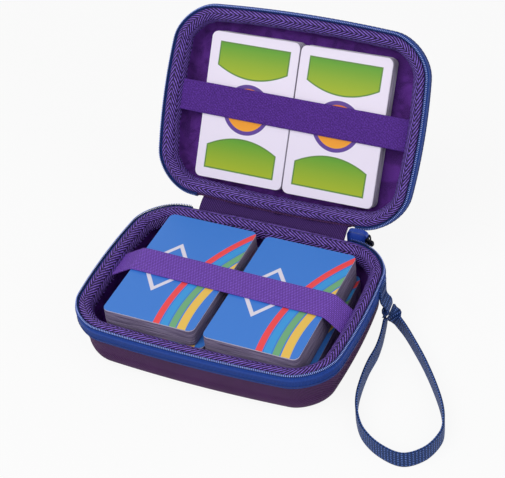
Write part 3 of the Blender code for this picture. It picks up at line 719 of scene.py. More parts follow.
def disc_distance(material, across, along, centre, radius):
    """Distance in mm outside a disc, below zero inside."""
    x = add(material, "Math", (across, -centre[0]))
    y = add(material, "Math", (along, -centre[1]))
    length = add(material, "VectorMath", (add(material, "CombineXYZ", (x, y)),), give=1, operation="LENGTH")
    return add(material, "Math", (length, -radius))


def print_ink(material, surface, distance, ink):
    """Prints an ink where a distance is below zero, with the soft edge of a screen print."""
    cover = add(material, "MapRange", (distance, 0.12, -0.12))
    return add(material, "Mix", {0: cover, 6: surface, 7: ink}, give=2, data_type="RGBA")


def white_card_face():
    """Coated white board printed with two green fields and a disc, under a satin varnish."""
    material = new_material("coated_board_white")
    place, across, along = weave_place(material)
    height = add(material, "Math", (along,), operation="ABSOLUTE")
    width = add(material, "Math", (across,), operation="ABSOLUTE")
    sides = add(material, "Math", (width, -22.5))
    ends = add(material, "Math", (height, -38.0))
    curve = add(material, "Math", (across, across), operation="MULTIPLY")
    curve = add(material, "Math", (curve, 0.0125, 17.5), operation="MULTIPLY_ADD")
    low = add(material, "Math", (curve, height), operation="SUBTRACT")
    field = add(material, "Math", (sides, ends), operation="MAXIMUM")
    field = add(material, "Math", (field, low), operation="MAXIMUM")
    inner = add(material, "Math", (field, 0.9))
    fade = add(material, "Math", (along, 17.5, -38.0), operation="WRAP")
    fade = add(material, "MapRange", (fade, -38.0, -19.0))
    green = add(material, "ValToRGB", (fade,), stops=((0.0, "#4f9a1c"), (1.0, "#a5b812")))
    paper = print_ink(material, tone(chosen().white_card_colour, 1.0), field, "#57852c")
    paper = print_ink(material, paper, inner, green)
    paper = print_ink(material, paper, disc_distance(material, across, along, (0.0, 0.0), 15.0), "#573493")
    glow = add(material, "MapRange", (along, -11.0, 11.0))
    orange = add(material, "ValToRGB", (glow,), stops=((0.0, "#ea7a16"), (1.0, "#f7a320")))
    paper = print_ink(material, paper, disc_distance(material, across, along, (0.0, 0.0), 12.6), orange)
    return finish_material(material, paper, 0.4, Specular_IOR_Level=0.4)


def blue_card_face():
    """Coated blue board printed with four curved bands and a white diamond, under a satin varnish."""
    material = new_material("coated_board_blue")
    place, across, along = weave_place(material)
    arc = disc_distance(material, across, along, (118.0, -30.0), 100.0)
    paper = tone(chosen().blue_card_colour, 1.0)
    bands =(("#fb4d52", 13.4, 1.9), ("#3c9fe6", 8.5, 2.1), ("#74b280", 3.6, 2.0), ("#f7cb5c", -1.7, 2.5))
    for ink, middle, half_width in bands:
        away = add(material, "Math", (arc, -middle))
        away = add(material, "Math", (away,), operation="ABSOLUTE")
        paper = print_ink(material, paper, add(material, "Math", (away, -half_width)), ink)
    reach = add(material, "Math", (across, 9.0))
    reach = add(material, "Math", (reach,), operation="ABSOLUTE")
    height = add(material, "Math", (along,), operation="ABSOLUTE")
    diamond = add(material, "Math", (reach, 1.35, height), operation="MULTIPLY_ADD")
    line = add(material, "Math", (diamond, -19.0))
    line = add(material, "Math", (line,), operation="ABSOLUTE")
    paper = print_ink(material, paper, add(material, "Math", (line, -1.9)), "#ebe6f4")
    return finish_material(material, paper, 0.38, Specular_IOR_Level=0.4)


LOOKS = {}


def look(maker):
    """Makes each material once."""
    if maker.__name__ not in LOOKS:
        LOOKS[maker.__name__] = maker()
    return LOOKS[maker.__name__]


# Pieces

def tray_loft(name, half, inset, depth, radius, top, cover):
    """The skin of one wall, its rounded foot and its floor."""
    stations = rim_stations(0.0)
    round_depth = depth - radius
    round_inset = inset + (round_depth - WALL_STRAIGHT_DEPTH) * math.tan(WALL_DRAFT) + radius / math.cos(WALL_DRAFT)
    profile = [(inset, top), (inset, WALL_STRAIGHT_DEPTH)]
    for step in range(FOOT_STEPS + 1):
        angle = -WALL_DRAFT + (math.pi / 2 + WALL_DRAFT) * step / FOOT_STEPS
        profile.append((round_inset - radius * math.cos(angle), round_depth + radius * math.sin(angle)))
    outline = [Vector((*rim_point(station, 0.0), 0.0)) for station in stations]
    along = lengths(outline + outline[:1])
    across = lengths([(i, d, 0.0) for i, d in profile])
    rows = [[half(*rim_point(station, i), d) for station in stations] for i, d in profile]
    weave = plain_weave(along, across)
    edge = [rim_point(station, profile[-1][0]) for station in stations]
    for share in (1.0, *FLOOR_SHARES):
        rows.append([half(x * share, y * share, depth) for x, y in edge])
        weave.append([(x * share / MM, y * share / MM) for x, y in edge + edge[:1]])
    piece = loft(name, rows, weave, ring=True, caps=False)
    modify(piece, "SOLIDIFY", thickness=cover, offset=-1.0)
    return piece


def binding_section():
    """Section of the binding, with a foot outside its crest, a long roll inside it, and its back."""
    crest_inset, crest_depth = BINDING_CREST
    low = crest_depth + BINDING_DROP
    points = []
    for step in range(BINDING_STEPS // 2):
        angle = math.pi / 2 * step / (BINDING_STEPS // 2)
        rise = (BINDING_FOOT_DEPTH - crest_depth) * math.sin(angle)
        points.append((crest_inset - BINDING_FOOT_WIDTH * math.cos(angle), BINDING_FOOT_DEPTH - rise))
    for step in range(BINDING_STEPS + 1):
        angle = math.pi / 2 * step / BINDING_STEPS
        points.append((crest_inset + BINDING_ROLL_WIDTH * math.sin(angle), low - BINDING_DROP * math.cos(angle)))
    inner_width, inner_drop = BINDING_ROLL_WIDTH - BINDING_THICKNESS, low - BINDING_FOOT_DEPTH
    back = math.asin((BINDING_BACK_INSET - crest_inset) / inner_width)
    for step in range(BINDING_STEPS + 1):
        angle = math.pi / 2 + (back - math.pi / 2) * step / BINDING_STEPS
        points.append((crest_inset + inner_width * math.sin(angle), low - inner_drop * math.cos(angle)))
    return points


def puckered(seam_x):
    """Small waves that the sewing leaves in a binding's roll, and the crease where its ends meet."""

    def wave(j, along, station):
        first_roll, last_roll = BINDING_STEPS // 2, BINDING_STEPS // 2 + BINDING_STEPS
        share = min(max((j - first_roll) / (last_roll - first_roll), 0.0), 1.0)
        ripple = math.sin(along / 1.7) + math.sin(along / 2.9 + 1.0) + 1.4 * math.sin(along / 8.3 + 2.0)
        push = ripple * share * chosen().binding_pucker
        crease = 0.0
        if station[3] == 1.0:
            away = (station[0] - seam_x) / MM
            groove = math.exp(-((away / 0.9) ** 2))
            swell = math.exp(-(((abs(away) - 2.2) / 1.2) ** 2))
            crease = BINDING_CREASE * (groove - 0.5 * swell)
        return (0.6 * push - 0.5 * crease, push + crease)

    return wave


def tape_section():
    return [
        (0.0021, TAPE_TOP_DEPTH),
        (0.0009, TAPE_TOP_DEPTH - 0.00005),
        (0.0003, TAPE_TOP_DEPTH + 0.0001),
        (0.0, TAPE_TOP_DEPTH + 0.0006),
        (-0.0001, TAPE_TOP_DEPTH + 0.0012),
        (0.00005, TAPE_TOP_DEPTH + 0.0019),
        (0.00022, TAPE_TOP_DEPTH + 0.0024),
        (0.0002, TAPE_FOOT_DEPTH - 0.0010),
        (0.0003, TAPE_FOOT_DEPTH - 0.0002),
        (0.0006, TAPE_FOOT_DEPTH),
        (TAPE_THICKNESS, TAPE_FOOT_DEPTH - 0.0001),
        (TAPE_THICKNESS, TAPE_TOP_DEPTH + 0.0004),
        (0.0021, TAPE_TOP_DEPTH + 0.0003),
    ]


def rim_line(end_x, spacing):
    """Evenly spaced (place, outward direction, run) along the rim, from its rear right end."""
    stations = rim_stations(end_x)
    outline = [Vector((*rim_point(station, 0.0), 0.0)) for station in stations]
    run = lengths(outline)
    count = int(run[-1] * MM / spacing)
    found, i = [], 0
    for sample in range(count + 1):
        goal = run[-1] * sample / count
        while i < len(run) - 2 and run[i + 1] < goal:
            i += 1
        share = (goal - run[i]) / (run[i + 1] - run[i])
        first, second = (Vector((*station[2:], 0.0)) for station in stations[i : i + 2])
        out = first.lerp(second, share)
        found.append((outline[i].lerp(outline[i + 1], share), out.normalized(), goal * MM))
    return found


def tube(name, centres, radius, sides, guides, along=None):
    """A round thread along close points. guides holds a direction across the thread at each point."""
    rows = [[] for side in range(sides)]
    for i, centre in enumerate(centres):
        ahead = (centres[min(i + 1, len(centres) - 1)] - centres[max(i - 1, 0)]).normalized()
        first = (guides[i] - ahead * guides[i].dot(ahead)).normalized()
        second = ahead.cross(first)
        for side in range(sides):
            angle = 2 * math.pi * side / sides
            rows[side].append(centre + (first * math.cos(angle) + second * math.sin(angle)) * radius)
    across = [2 * math.pi * radius / MM * side / sides for side in range(sides + 1)]
    return loft(name, rows, plain_weave(along or lengths(centres), across), wrap=True)


def coil(name, half):
    """The coil of one half: a monofilament wound evenly along the tape's edge."""
    centres, guides, along = [], [], []
    pitch = chosen().coil_pitch
    for place, out, run in rim_line(REAR_END_X, pitch / COIL_SAMPLES):
        angle = 2 * math.pi * run / pitch
        inset = COIL_INSET + COIL_RADIUS * math.cos(angle)
        depth = COIL_DEPTH + COIL_RADIUS * math.sin(angle)
        centre = place - out * inset
        middle = place - out * COIL_INSET
        centres.append(half(centre.x, centre.y, depth))
        guides.append(centres[-1] - half(middle.x, middle.y, COIL_DEPTH))
        along.append(run / MM)
    return tube(name, centres, COIL_WIRE_RADIUS, 6, guides, along)


def stitch_line(name, half, depth, stand_off):
    """A row of stitches on the tape: a thread that dips into the cloth between them."""
    centres, guides = [], []
    pitch = chosen().stitch_pitch
    for place, out, run in rim_line(REAR_END_X, pitch / STITCH_SAMPLES):
        share = (run / pitch) % 1.0
        rise = min(1.0, 3.0 * math.sin(math.pi * share)) * 1.6 - 1.2
        at = place + out * (stand_off + THREAD_RADIUS * rise)
        centres.append(half(at.x, at.y, depth))
        guides.append(half(at.x + out.x, at.y + out.y, depth) - centres[-1])
    return tube(name, centres, THREAD_RADIUS, 5, guides)


def card_outline(inner_x, centre_y, turn, side, shrink=0.0):
    """Outline of a card on one side of its inner edge, turned about its middle."""
    reach_x, reach_y = CARD_WIDTH / 2 - CARD_CORNER, CARD_LENGTH / 2 - CARD_CORNER
    radius = CARD_CORNER - shrink
    centre_x = inner_x + side * CARD_WIDTH / 2
    flat, placed = [], []
    for quarter, (sign_x, sign_y) in enumerate(((1, 1), (-1, 1), (-1, -1), (1, -1))):
        for step in range(CARD_CORNER_STEPS + 1):
            angle = math.pi / 2 * (quarter + step / CARD_CORNER_STEPS)
            x = sign_x * reach_x + radius * math.cos(angle)
            y = sign_y * reach_y + radius * math.sin(angle)
            flat.append((x, y))
            turned = (x * math.cos(turn) - y * math.sin(turn), x * math.sin(turn) + y * math.cos(turn))
            placed.append((centre_x + turned[0], centre_y + turned[1]))
    return flat, placed


def deck(name, half, place, side, face_depth, back_depth, seed, stray, looks):
    """A stack of cards with a groove between each two, and the top card's print."""
    luck = random.Random(seed)
    count = round((back_depth - face_depth) / CARD_THICKNESS)
    thickness = (back_depth - face_depth) / count
    rows, across = [], []
    for card in range(count):
        shift_x, shift_y = luck.gauss(0, stray[0]), luck.gauss(0, stray[1])
        if card == 0:
            shift_x = shift_y = 0.0
        for share, shrink in ((0.04, 0.0), (0.90, 0.0), (0.97, CARD_GROOVE)):
            depth = face_depth + (card + share) * thickness
            placed = card_outline(*place, side, shrink)[1]
            rows.append([half(x + shift_x, y + shift_y, depth) for x, y in placed])
            across.append((card + share) * CARD_THICKNESS / MM)
    outline = [Vector((x, y, 0.0)) for x, y in card_outline(*place, side)[0]]
    along = lengths(outline + outline[:1])
    piece = loft(name, rows, plain_weave(along, across), ring=True, caps=True)
    for look_made in looks:
        piece.data.materials.append(look_made)
    centre = half(place[0] + side * CARD_WIDTH / 2, place[1], face_depth)
    right = (half(1.0, 0.0, 0.0) - half(0.0, 0.0, 0.0)).normalized()
    ahead = (half(0.0, 1.0, 0.0) - half(0.0, 0.0, 0.0)).normalized()
    layer = piece.data.uv_layers["weave"]
    for face in piece.data.polygons:
        if len(face.vertices) > 8:
            face.material_index = 1 if (face.center - centre).length < 10 * MM and is_face(face, centre, half) else 0
            for index in face.loop_indices:
                away = piece.data.vertices[piece.data.loops[index].vertex_index].co - centre
                layer.data[index].uv = (away.dot(right) / MM, away.dot(ahead) / MM)
    return piece


def is_face(face, centre, half):
    """Whether a cap is the printed face, and not the back of the stack."""
    up = half(0.0, 0.0, 0.0) - half(0.0, 0.0, 1.0)
    return abs((face.center - centre).dot(up.normalized())) < 0.5 * MM


def dye_property(name, description, code):
    """A colour that a user can pick, with its hex code as the first choice."""
    first = colour(code)[:3]
    return bpy.props.FloatVectorProperty(
        name=name, description=description, default=first, size=3, min=0.0, max=1.0, subtype="COLOR"
    )


class CaseSettings(bpy.types.PropertyGroup):
    """Sizes, levels and colours that a user would change."""

    floor_size: bpy.props.FloatProperty(
        name="Floor size", description="Edge of the pale floor", default=6.0, unit="LENGTH"
    )
    key_power: bpy.props.FloatProperty(
        name="Key light", description="Power of the large soft light", default=8.0, unit="POWER"
    )
    sky_level: bpy.props.FloatProperty(
        name="Sky level", description="Strength of the even light from all round", default=0.30
    )
    coil_pitch: bpy.props.FloatProperty(
        name="Coil pitch", description="Length of tape for one turn of the coil", default=0.00105, unit="LENGTH"
    )
    stitch_pitch: bpy.props.FloatProperty(
        name="Stitch pitch", description="Length of one stitch in the tape", default=0.0028, unit="LENGTH"
    )
    binding_pucker: bpy.props.FloatProperty(
        name="Pucker", description="Height of the small waves in the bindings", default=0.00016, unit="LENGTH"
    )
    shell_colour: dye_property("Shell", "Dye of the shells' nylon twill", "#43224f")
    lining_colour: dye_property("Lining", "Dye of the napped lining", "#5c2e88")
    binding_colour: dye_property("Binding", "Dye of the herringbone bindings", "#4c2a88")
    tape_colour: dye_property("Zip tape", "Dye of the zip tape", "#2048a4")
    coil_colour: dye_property("Zip coil", "Dye of the zip coil", "#2450b4")
    strap_colour: dye_property("Straps", "Dye of the elastic straps", "#5c3496")
    # first choice darkened as painted shade for the hinge's shadow
    hinge_dye_and_shade: dye_property("Hinge", "Dye of the hinge cloth", "#462a6c")
    webbing_colour: dye_property("Webbing", "Dye of the wrist strap", "#2b4f96")
    pull_colour: dye_property("Pull tab", "Colour of the moulded pull tab", "#2848ac")
    blue_card_colour: dye_property("Blue cards", "Ground colour of the blue cards", "#3f82dd")
    white_card_colour: dye_property("White cards", "Ground colour of the white cards", "#f2e9fb")
    base_stray: bpy.props.FloatVectorProperty(
        name="Base stray",
        description="How far the cards of the base decks stray",
        default=(0.00006, 0.00008),
        size=2,
        unit="LENGTH",
    )
    lid_stray: bpy.props.FloatVectorProperty(
        name="Lid stray",
        description="How far the cards of the lid decks stray",
        default=(0.00022, 0.00016),
        size=2,
        unit="LENGTH",
    )


def white_to_camera(owner, shader, share):
    """Shows white straight to the camera, to gloss and through glass, and keeps the shader for light."""
    rays = [add(owner, "LightPath", give=ray) for ray in ("Is Camera Ray", "Is Glossy Ray", "Is Transmission Ray")]
    bounced = add(owner, "Math", rays[1:], operation="MAXIMUM")
    seen = add(owner, "Math", (rays[0], bounced), operation="MAXIMUM")
    level = add(owner, "Math", (seen, share), operation="MULTIPLY")
    white = add(owner, "Emission" if share < 1 else "Background", ("#ffffff", 1.0))
    return add(owner, "MixShader", (level, shader, white))


class CASE_OT_stage(bpy.types.Operator):
    """Adds the floor, the lights and the camera"""

    bl_idname = "case.stage"
    bl_label = "Stage"

    def execute(self, context):
        settings = context.scene.card_case
        context.scene.view_settings.view_transform = "Standard"
        world = bpy.data.worlds.new("even_sky")
        world.use_nodes = True
        context.scene.world = world
        sky = world.node_tree.nodes["Background"]
        sky.inputs[0].default_value = (1.0, 1.0, 1.0, 1.0)
        sky.inputs[1].default_value = settings.sky_level
        out = world.node_tree.nodes["World Output"]
        world.node_tree.links.new(white_to_camera(world, sky.outputs[0], 1.0), out.inputs[0])
        bpy.ops.object.select_all(action="DESELECT")
        bpy.ops.mesh.primitive_plane_add(size=settings.floor_size, location=(0.0, 0.0, -0.0001))
        floor = context.object
        floor.name = "pale_floor"
        material = new_material("pale_floor_paper")
        tree = material.node_tree
        tree.nodes["Principled BSDF"].inputs["Base Color"].default_value = (0.8, 0.8, 0.8, 1.0)
        tree.nodes["Principled BSDF"].inputs["Roughness"].default_value = 1.0
        shader = white_to_camera(material, tree.nodes["Principled BSDF"].outputs[0], 0.9)
        tree.links.new(shader, tree.nodes["Material Output"].inputs[0])
        floor.data.materials.append(material)
        lamps = (
            ("key_softbox", (-0.25, -0.62, 1.00), 1.0, settings.key_power),
            ("right_softbox", (0.95, -0.35, 0.70), 0.8, settings.key_power * 0.45),
        )
        for name, place, size, power in lamps:
            bpy.ops.object.light_add(type="AREA", location=place)
            lamp = context.object
            lamp.name = name
            lamp.data.size = size
            lamp.data.energy = power
            lamp.rotation_mode = "QUATERNION"
            lamp.rotation_quaternion = (CAMERA_TARGET - Vector(place)).to_track_quat("-Z", "Y")
        bpy.ops.object.camera_add(location=CAMERA_PLACE)
        camera = context.object
        back = (CAMERA_PLACE - CAMERA_TARGET).normalized()
        level_x = Vector((0.0, 0.0, 1.0)).cross(back).normalized()
        level_y = back.cross(level_x)
        axis_x = level_x * math.cos(CAMERA_ROLL) + level_y * math.sin(CAMERA_ROLL)
        axis_y = level_y * math.cos(CAMERA_ROLL) - level_x * math.sin(CAMERA_ROLL)
        turn = Matrix((axis_x, axis_y, back)).transposed()
        camera.rotation_mode = "QUATERNION"
        camera.rotation_quaternion = turn.to_quaternion()
        camera.data.lens = CAMERA_LENS
        camera.data.sensor_width = 36.0
        camera.data.clip_start, camera.data.clip_end = 0.01, 20.0
        context.scene.camera = camera
        return {"FINISHED"}


class CASE_OT_wrist_strap(bpy.types.Operator):
    """Adds the webbing wrist strap and the folded tab that holds it"""

    bl_idname = "case.wrist_strap"
    bl_label = "Wrist strap"

    def execute(self, context):
        path = even_path(WEBBING_ROUTE, WEBBING_SAMPLES)
        tab_low, tab_high = (Vector(corner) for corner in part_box("strap_tab"))
        back = Vector((-0.074, 1.0, 0.0)).normalized()
        upright = Vector((0.0, 0.0, 1.0))
        across = []
        for i, point in enumerate(path):
            ahead = (path[min(i + 1, len(path) - 1)] - path[max(i - 1, 0)]).normalized()
            share = min(max((point.z - TWIST_START) / (tab_low.z - TWIST_START), 0.0), 1.0)
            wish = upright.lerp(back, share)
            edge = (wish - ahead * wish.dot(ahead)).normalized()
            across.append(edge * (WEBBING_WIDTH / 2))
        strap = ribbon("wrist_strap_webbing", path, across, WEBBING_THICKNESS)
        settle(strap, "base", "woven_webbing", look(webbing), "wrist_strap", angle=60)
        lengths(path)[-1] * MM
        return {"FINISHED"}


class CASE_OT_shells(bpy.types.Operator):
    """Adds the moulded shells of both halves"""

    bl_idname = "case.shells"
    bl_label = "Shells"

    def execute(self, context):
        for body, (half, depth) in HALVES.items():
            shell = tray_loft(
                body + "_moulded_shell", half, SHELL_INSET, depth, FOOT_RADIUS, SHELL_RIM_DEPTH, SHELL_WALL
            )
            settle(shell, body, "twill_nylon", look(twill_nylon), body + "_shell")
        return {"FINISHED"}


class CASE_OT_linings(bpy.types.Operator):
    """Adds the napped linings of both halves"""

    bl_idname = "case.linings"
    bl_label = "Linings"

    def execute(self, context):
        gap = LINING_INSET - SHELL_INSET
        for body, (half, depth) in HALVES.items():
            sizes = (LINING_INSET, depth - gap, FOOT_RADIUS - gap, SHELL_RIM_DEPTH, LINING_THICKNESS)
            lining = tray_loft(body + "_napped_lining", half, *sizes)
            settle(lining, body, "napped_lining", look(velvet), body + "_lining")
        return {"FINISHED"}


class CASE_OT_bindings(bpy.types.Operator):
    """Adds the herringbone bindings of both rims"""

    bl_idname = "case.bindings"
    bl_label = "Bindings"

    def execute(self, context):
        for body, (half, depth) in HALVES.items():
            wave = puckered(-0.0200 if body == "base" else -0.0006)
            stations = rim_stations(0.0, BINDING_SPACING)
            binding = rim_sweep(body + "_rim_binding", half, binding_section(), stations, ring=True, wave=wave)
            settle(binding, body, "herringbone_binding", look(herringbone), body + "_binding", angle=60)
        return {"FINISHED"}


class CASE_OT_zip(bpy.types.Operator):
    """Adds the zip tapes, their coils and their stitching"""

    bl_idname = "case.zip"
    bl_label = "Zip"

    def execute(self, context):
        for body, (half, depth) in HALVES.items():
            tape = rim_sweep(body + "_knitted_tape", half, tape_section(), rim_stations(REAR_END_X), ring=False)
            settle(tape, body, "zip_tape", look(zip_tape), body + "_zip_tape", angle=50)
            wound = coil(body + "_wound_coil", half)
            settle(wound, body, "nylon_coil", look(nylon_coil), body + "_zip_coil", angle=80)
            stitches = stitch_line(body + "_tape_stitches", half, TAPE_FOOT_DEPTH - 0.0016, -0.0001)
            settle(stitches, body, "zip_tape", look(sewing_thread), angle=80)
        return {"FINISHED"}


class CASE_OT_hinge(bpy.types.Operator):
    """Adds the cloth hinge along the rear"""

    bl_idname = "case.hinge"
    bl_label = "Hinge cloth"

    def execute(self, context):
        steps, inset, thickness = 120, 0.00045, 0.0008
        columns = []
        for step in range(steps + 1):
            x = HINGE_CLOTH_REACH * (2 * step / steps - 1)
            y = rim_point((x, CORNER.y, 0.0, 1.0), inset)[1]
            lean = 0.0021 * math.sin(x / 0.0137)
            waves = [0.00022 * math.sin((x + side * lean) / 0.0017 + 1.3 * math.sin(x / 0.0083)) for side in (-1, 1)]
            folds = [0.00034 * math.sin((x + side * lean) / 0.0041 + 0.7) for side in (-1, 1)]
            low, high = waves[0] + folds[0], waves[1] + folds[1]
            foot = TAPE_FOOT_DEPTH
            knots = [on_base(x, y, foot), on_base(x, y + low / 2, 0.0060), on_base(x, y + low, 0.0028)]
            knots += [on_lid(x, y + high, 0.0028), on_lid(x, y + high / 2, 0.0060), on_lid(x, y, foot)]
            columns.append(smooth_path(knots, 24))
        rows = []
        count = len(columns[0])
        for j in list(range(count)) + list(reversed(range(count))):
            sign = 1 if len(rows) < count else -1
            row = []
            for column in columns:
                ahead = column[min(j + 1, count - 1)] - column[max(j - 1, 0)]
                side = Vector((0.0, -ahead.z, ahead.y)).normalized()
                row.append(column[j] + side * sign * thickness / 2)
            rows.append(row)
        along = lengths([column[0] for column in columns])
        run = lengths([row[0] for row in rows + rows[:1]])
        cloth = loft("hinge_cloth", rows, plain_weave(along, run), wrap=True)
        settle(cloth, None, "twill_nylon", look(hinge_cloth), "hinge_fabric", angle=50)
        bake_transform(cloth)
        middle = columns[steps // 2]
        width = lengths([column[len(middle) // 2] for column in columns])[-1] * MM
        flat = (width, lengths(middle)[-1] * MM)
        return {"FINISHED"}


class CASE_OT_decks(bpy.types.Operator):
    """Adds the decks of cards in both halves"""

    bl_idname = "case.decks"
    bl_label = "Decks"

    def execute(self, context):
        settings = context.scene.card_case
        blue = (look(board_edges_grey_shaded), look(blue_card_face))
        white = (look(board_edges_white), look(white_card_face))
        decks = (
            ("base_deck_left", "base", (-0.0017, -0.0006, math.radians(-0.5)), -1, -0.0019, 0.0093, blue),
            ("base_deck_right", "base", (0.0042, -0.0024, math.radians(-0.6)), 1, -0.0019, 0.0149, blue),
            ("base_deck_lower_left", "base", (0.0024, -0.0008, 0.0), -1, 0.0096, 0.0276, blue),
            ("base_deck_lower_right", "base", (0.0066, -0.0010, math.radians(1.0)), 1, 0.0152, 0.0276, blue),
            ("lid_deck_left", "lid", (-0.0005, 0.0018, math.radians(-0.5)), -1, 0.0074, 0.0181, white),
            ("lid_deck_right", "lid", (0.0004, 0.0018, math.radians(-0.5)), 1, 0.0074, 0.0181, white),
        )
        for seed, (node, body, place, side, face, back, looks) in enumerate(decks):
            stray = settings.lid_stray if body == "lid" else settings.base_stray
            piece = deck(node + "_cards", HALVES[body][0], place, side, face, back, seed + 3, stray, looks)
            slot = "white_card" if body == "lid" else "blue_card"
            settle(piece, body, slot, None, node, angle=30)
        return {"FINISHED"}


class CASE_OT_straps(bpy.types.Operator):
    """Adds the elastic straps over the decks"""

    bl_idname = "case.straps"
    bl_label = "Elastic straps"

    def execute(self, context):
        clear = 0.0003 + STRAP_THICKNESS / 2
        wall = rim_point((CORNER.x, 0.0, 1.0, 0.0), STRAP_END_INSET)[0]
        under = STRAP_END_DEPTH
        jobs = (
            ("base", on_base, -0.0579, 0.0604, -0.0019, 0.0002, -0.0030, ribbed_elastic, ()),
            ("lid", on_lid, -0.0567, 0.0566, 0.0074, -0.0014, -0.0004, felt_elastic, (0.88, STRAP_BEAD_HEIGHT)),
        )
        for body, half, left_x, right_x, face, left_y, right_y, maker, beads in jobs:
            top = face - clear
            low, edge = top + (under - top) * 0.82, top + (under - top) * 0.22
            knots = [(-wall, under), (-wall + 0.0028, low), (left_x - 0.0030, edge)]
            knots += [(left_x + 0.0020, top), (left_x * 0.66, top), (left_x * 0.33, top), (0.0, top)]
            knots += [(right_x * 0.33, top), (right_x * 0.66, top), (right_x - 0.0020, top)]
            knots += [(right_x + 0.0030, edge), (wall - 0.0028, low), (wall, under)]
            places = []
            for x, depth in knots:
                y = left_y + (right_y - left_y) * (x + wall) / (2 * wall)
                places.append(half(x, y, depth))
            path = even_path(places, 120)
            across = (half(0.0, STRAP_WIDTH / 2, 0.0) - half(0.0, 0.0, 0.0))
            strap = ribbon(body + "_elastic_band", path, [across] * len(path), STRAP_THICKNESS, beads)
            settle(strap, body, "woven_elastic", look(maker), body + "_elastic_strap", angle=60)
        return {"FINISHED"}


def rounded_plate(name, low, high, corner, edge, steps=6):
    """A plate that is thin along Y, with its outline's corners rounded and its edges broken."""
    bpy.ops.object.select_all(action="DESELECT")
    bpy.ops.mesh.primitive_cube_add(size=1.0, location=(low + high) / 2, scale=high - low)
    plate = bpy.context.object
    plate.name = name
    bpy.ops.object.transform_apply(location=True, rotation=True, scale=True)
    in_edit_mode(plate, (bpy.ops.mesh.select_all, {"action": "DESELECT"}))
    for side in plate.data.edges:
        ends = [plate.data.vertices[index].co for index in side.vertices]
        side.select = abs(ends[0].y - ends[1].y) > (high.y - low.y) / 2
    bpy.ops.object.mode_set(mode="EDIT")
    bpy.ops.mesh.bevel(offset=corner, segments=steps, affect="EDGES")
    bpy.ops.object.mode_set(mode="OBJECT")
    if edge:
        modify(plate, "BEVEL", width=edge, segments=3, limit_method="ANGLE", angle_limit=math.radians(40))
    return plate


class CASE_OT_pull_tab(bpy.types.Operator):
    """Adds the moulded pull tab with its grip, hanging from its rivet"""

    bl_idname = "case.pull_tab"
    bl_label = "Pull tab"

    def execute(self, context):
        tab = rounded_plate("moulded_pull_tab", TAB_LOW, TAB_HIGH, TAB_CORNER, 0.0)
        for side in (-1, 1):
            in_edit_mode(tab, (bpy.ops.mesh.select_all, {"action": "DESELECT"}))
            for face in tab.data.polygons:
                face.select = face.normal.y * side > 0.99
            bpy.ops.object.mode_set(mode="EDIT")
            bpy.ops.mesh.inset(thickness=0.0017, depth=0.0)
            bpy.ops.transform.resize(value=(1.0, 1.0, 0.62), center_override=(0.0, 0.0, TAB_LOW.z + 0.0017))
            bpy.ops.mesh.inset(thickness=0.0003, depth=-0.0005)
            bpy.ops.object.mode_set(mode="OBJECT")
        modify(tab, "BEVEL", width=0.0006, segments=4, limit_method="ANGLE", angle_limit=math.radians(50))
        parts = [tab]
        for side, y in ((-1, TAB_LOW.y + 0.0005), (1, TAB_HIGH.y - 0.0005)):
            for bar in range(5):
                z = TAB_LOW.z + 0.0042 + bar * 0.0022
                low = Vector((TAB_LOW.x + 0.0030, y - 0.0003, z - 0.0005))
                high = Vector((TAB_HIGH.x - 0.0030, y + 0.0003, z + 0.0005))
                parts.append(rounded_plate("grip", low, high, 0.0003, 0.0002, 2))
        tab = join("moulded_pull_tab", parts)
        settle(tab, "puller", "moulded_pull", look(moulded_pull), "pull_tab", angle=50)
        return {"FINISHED"}


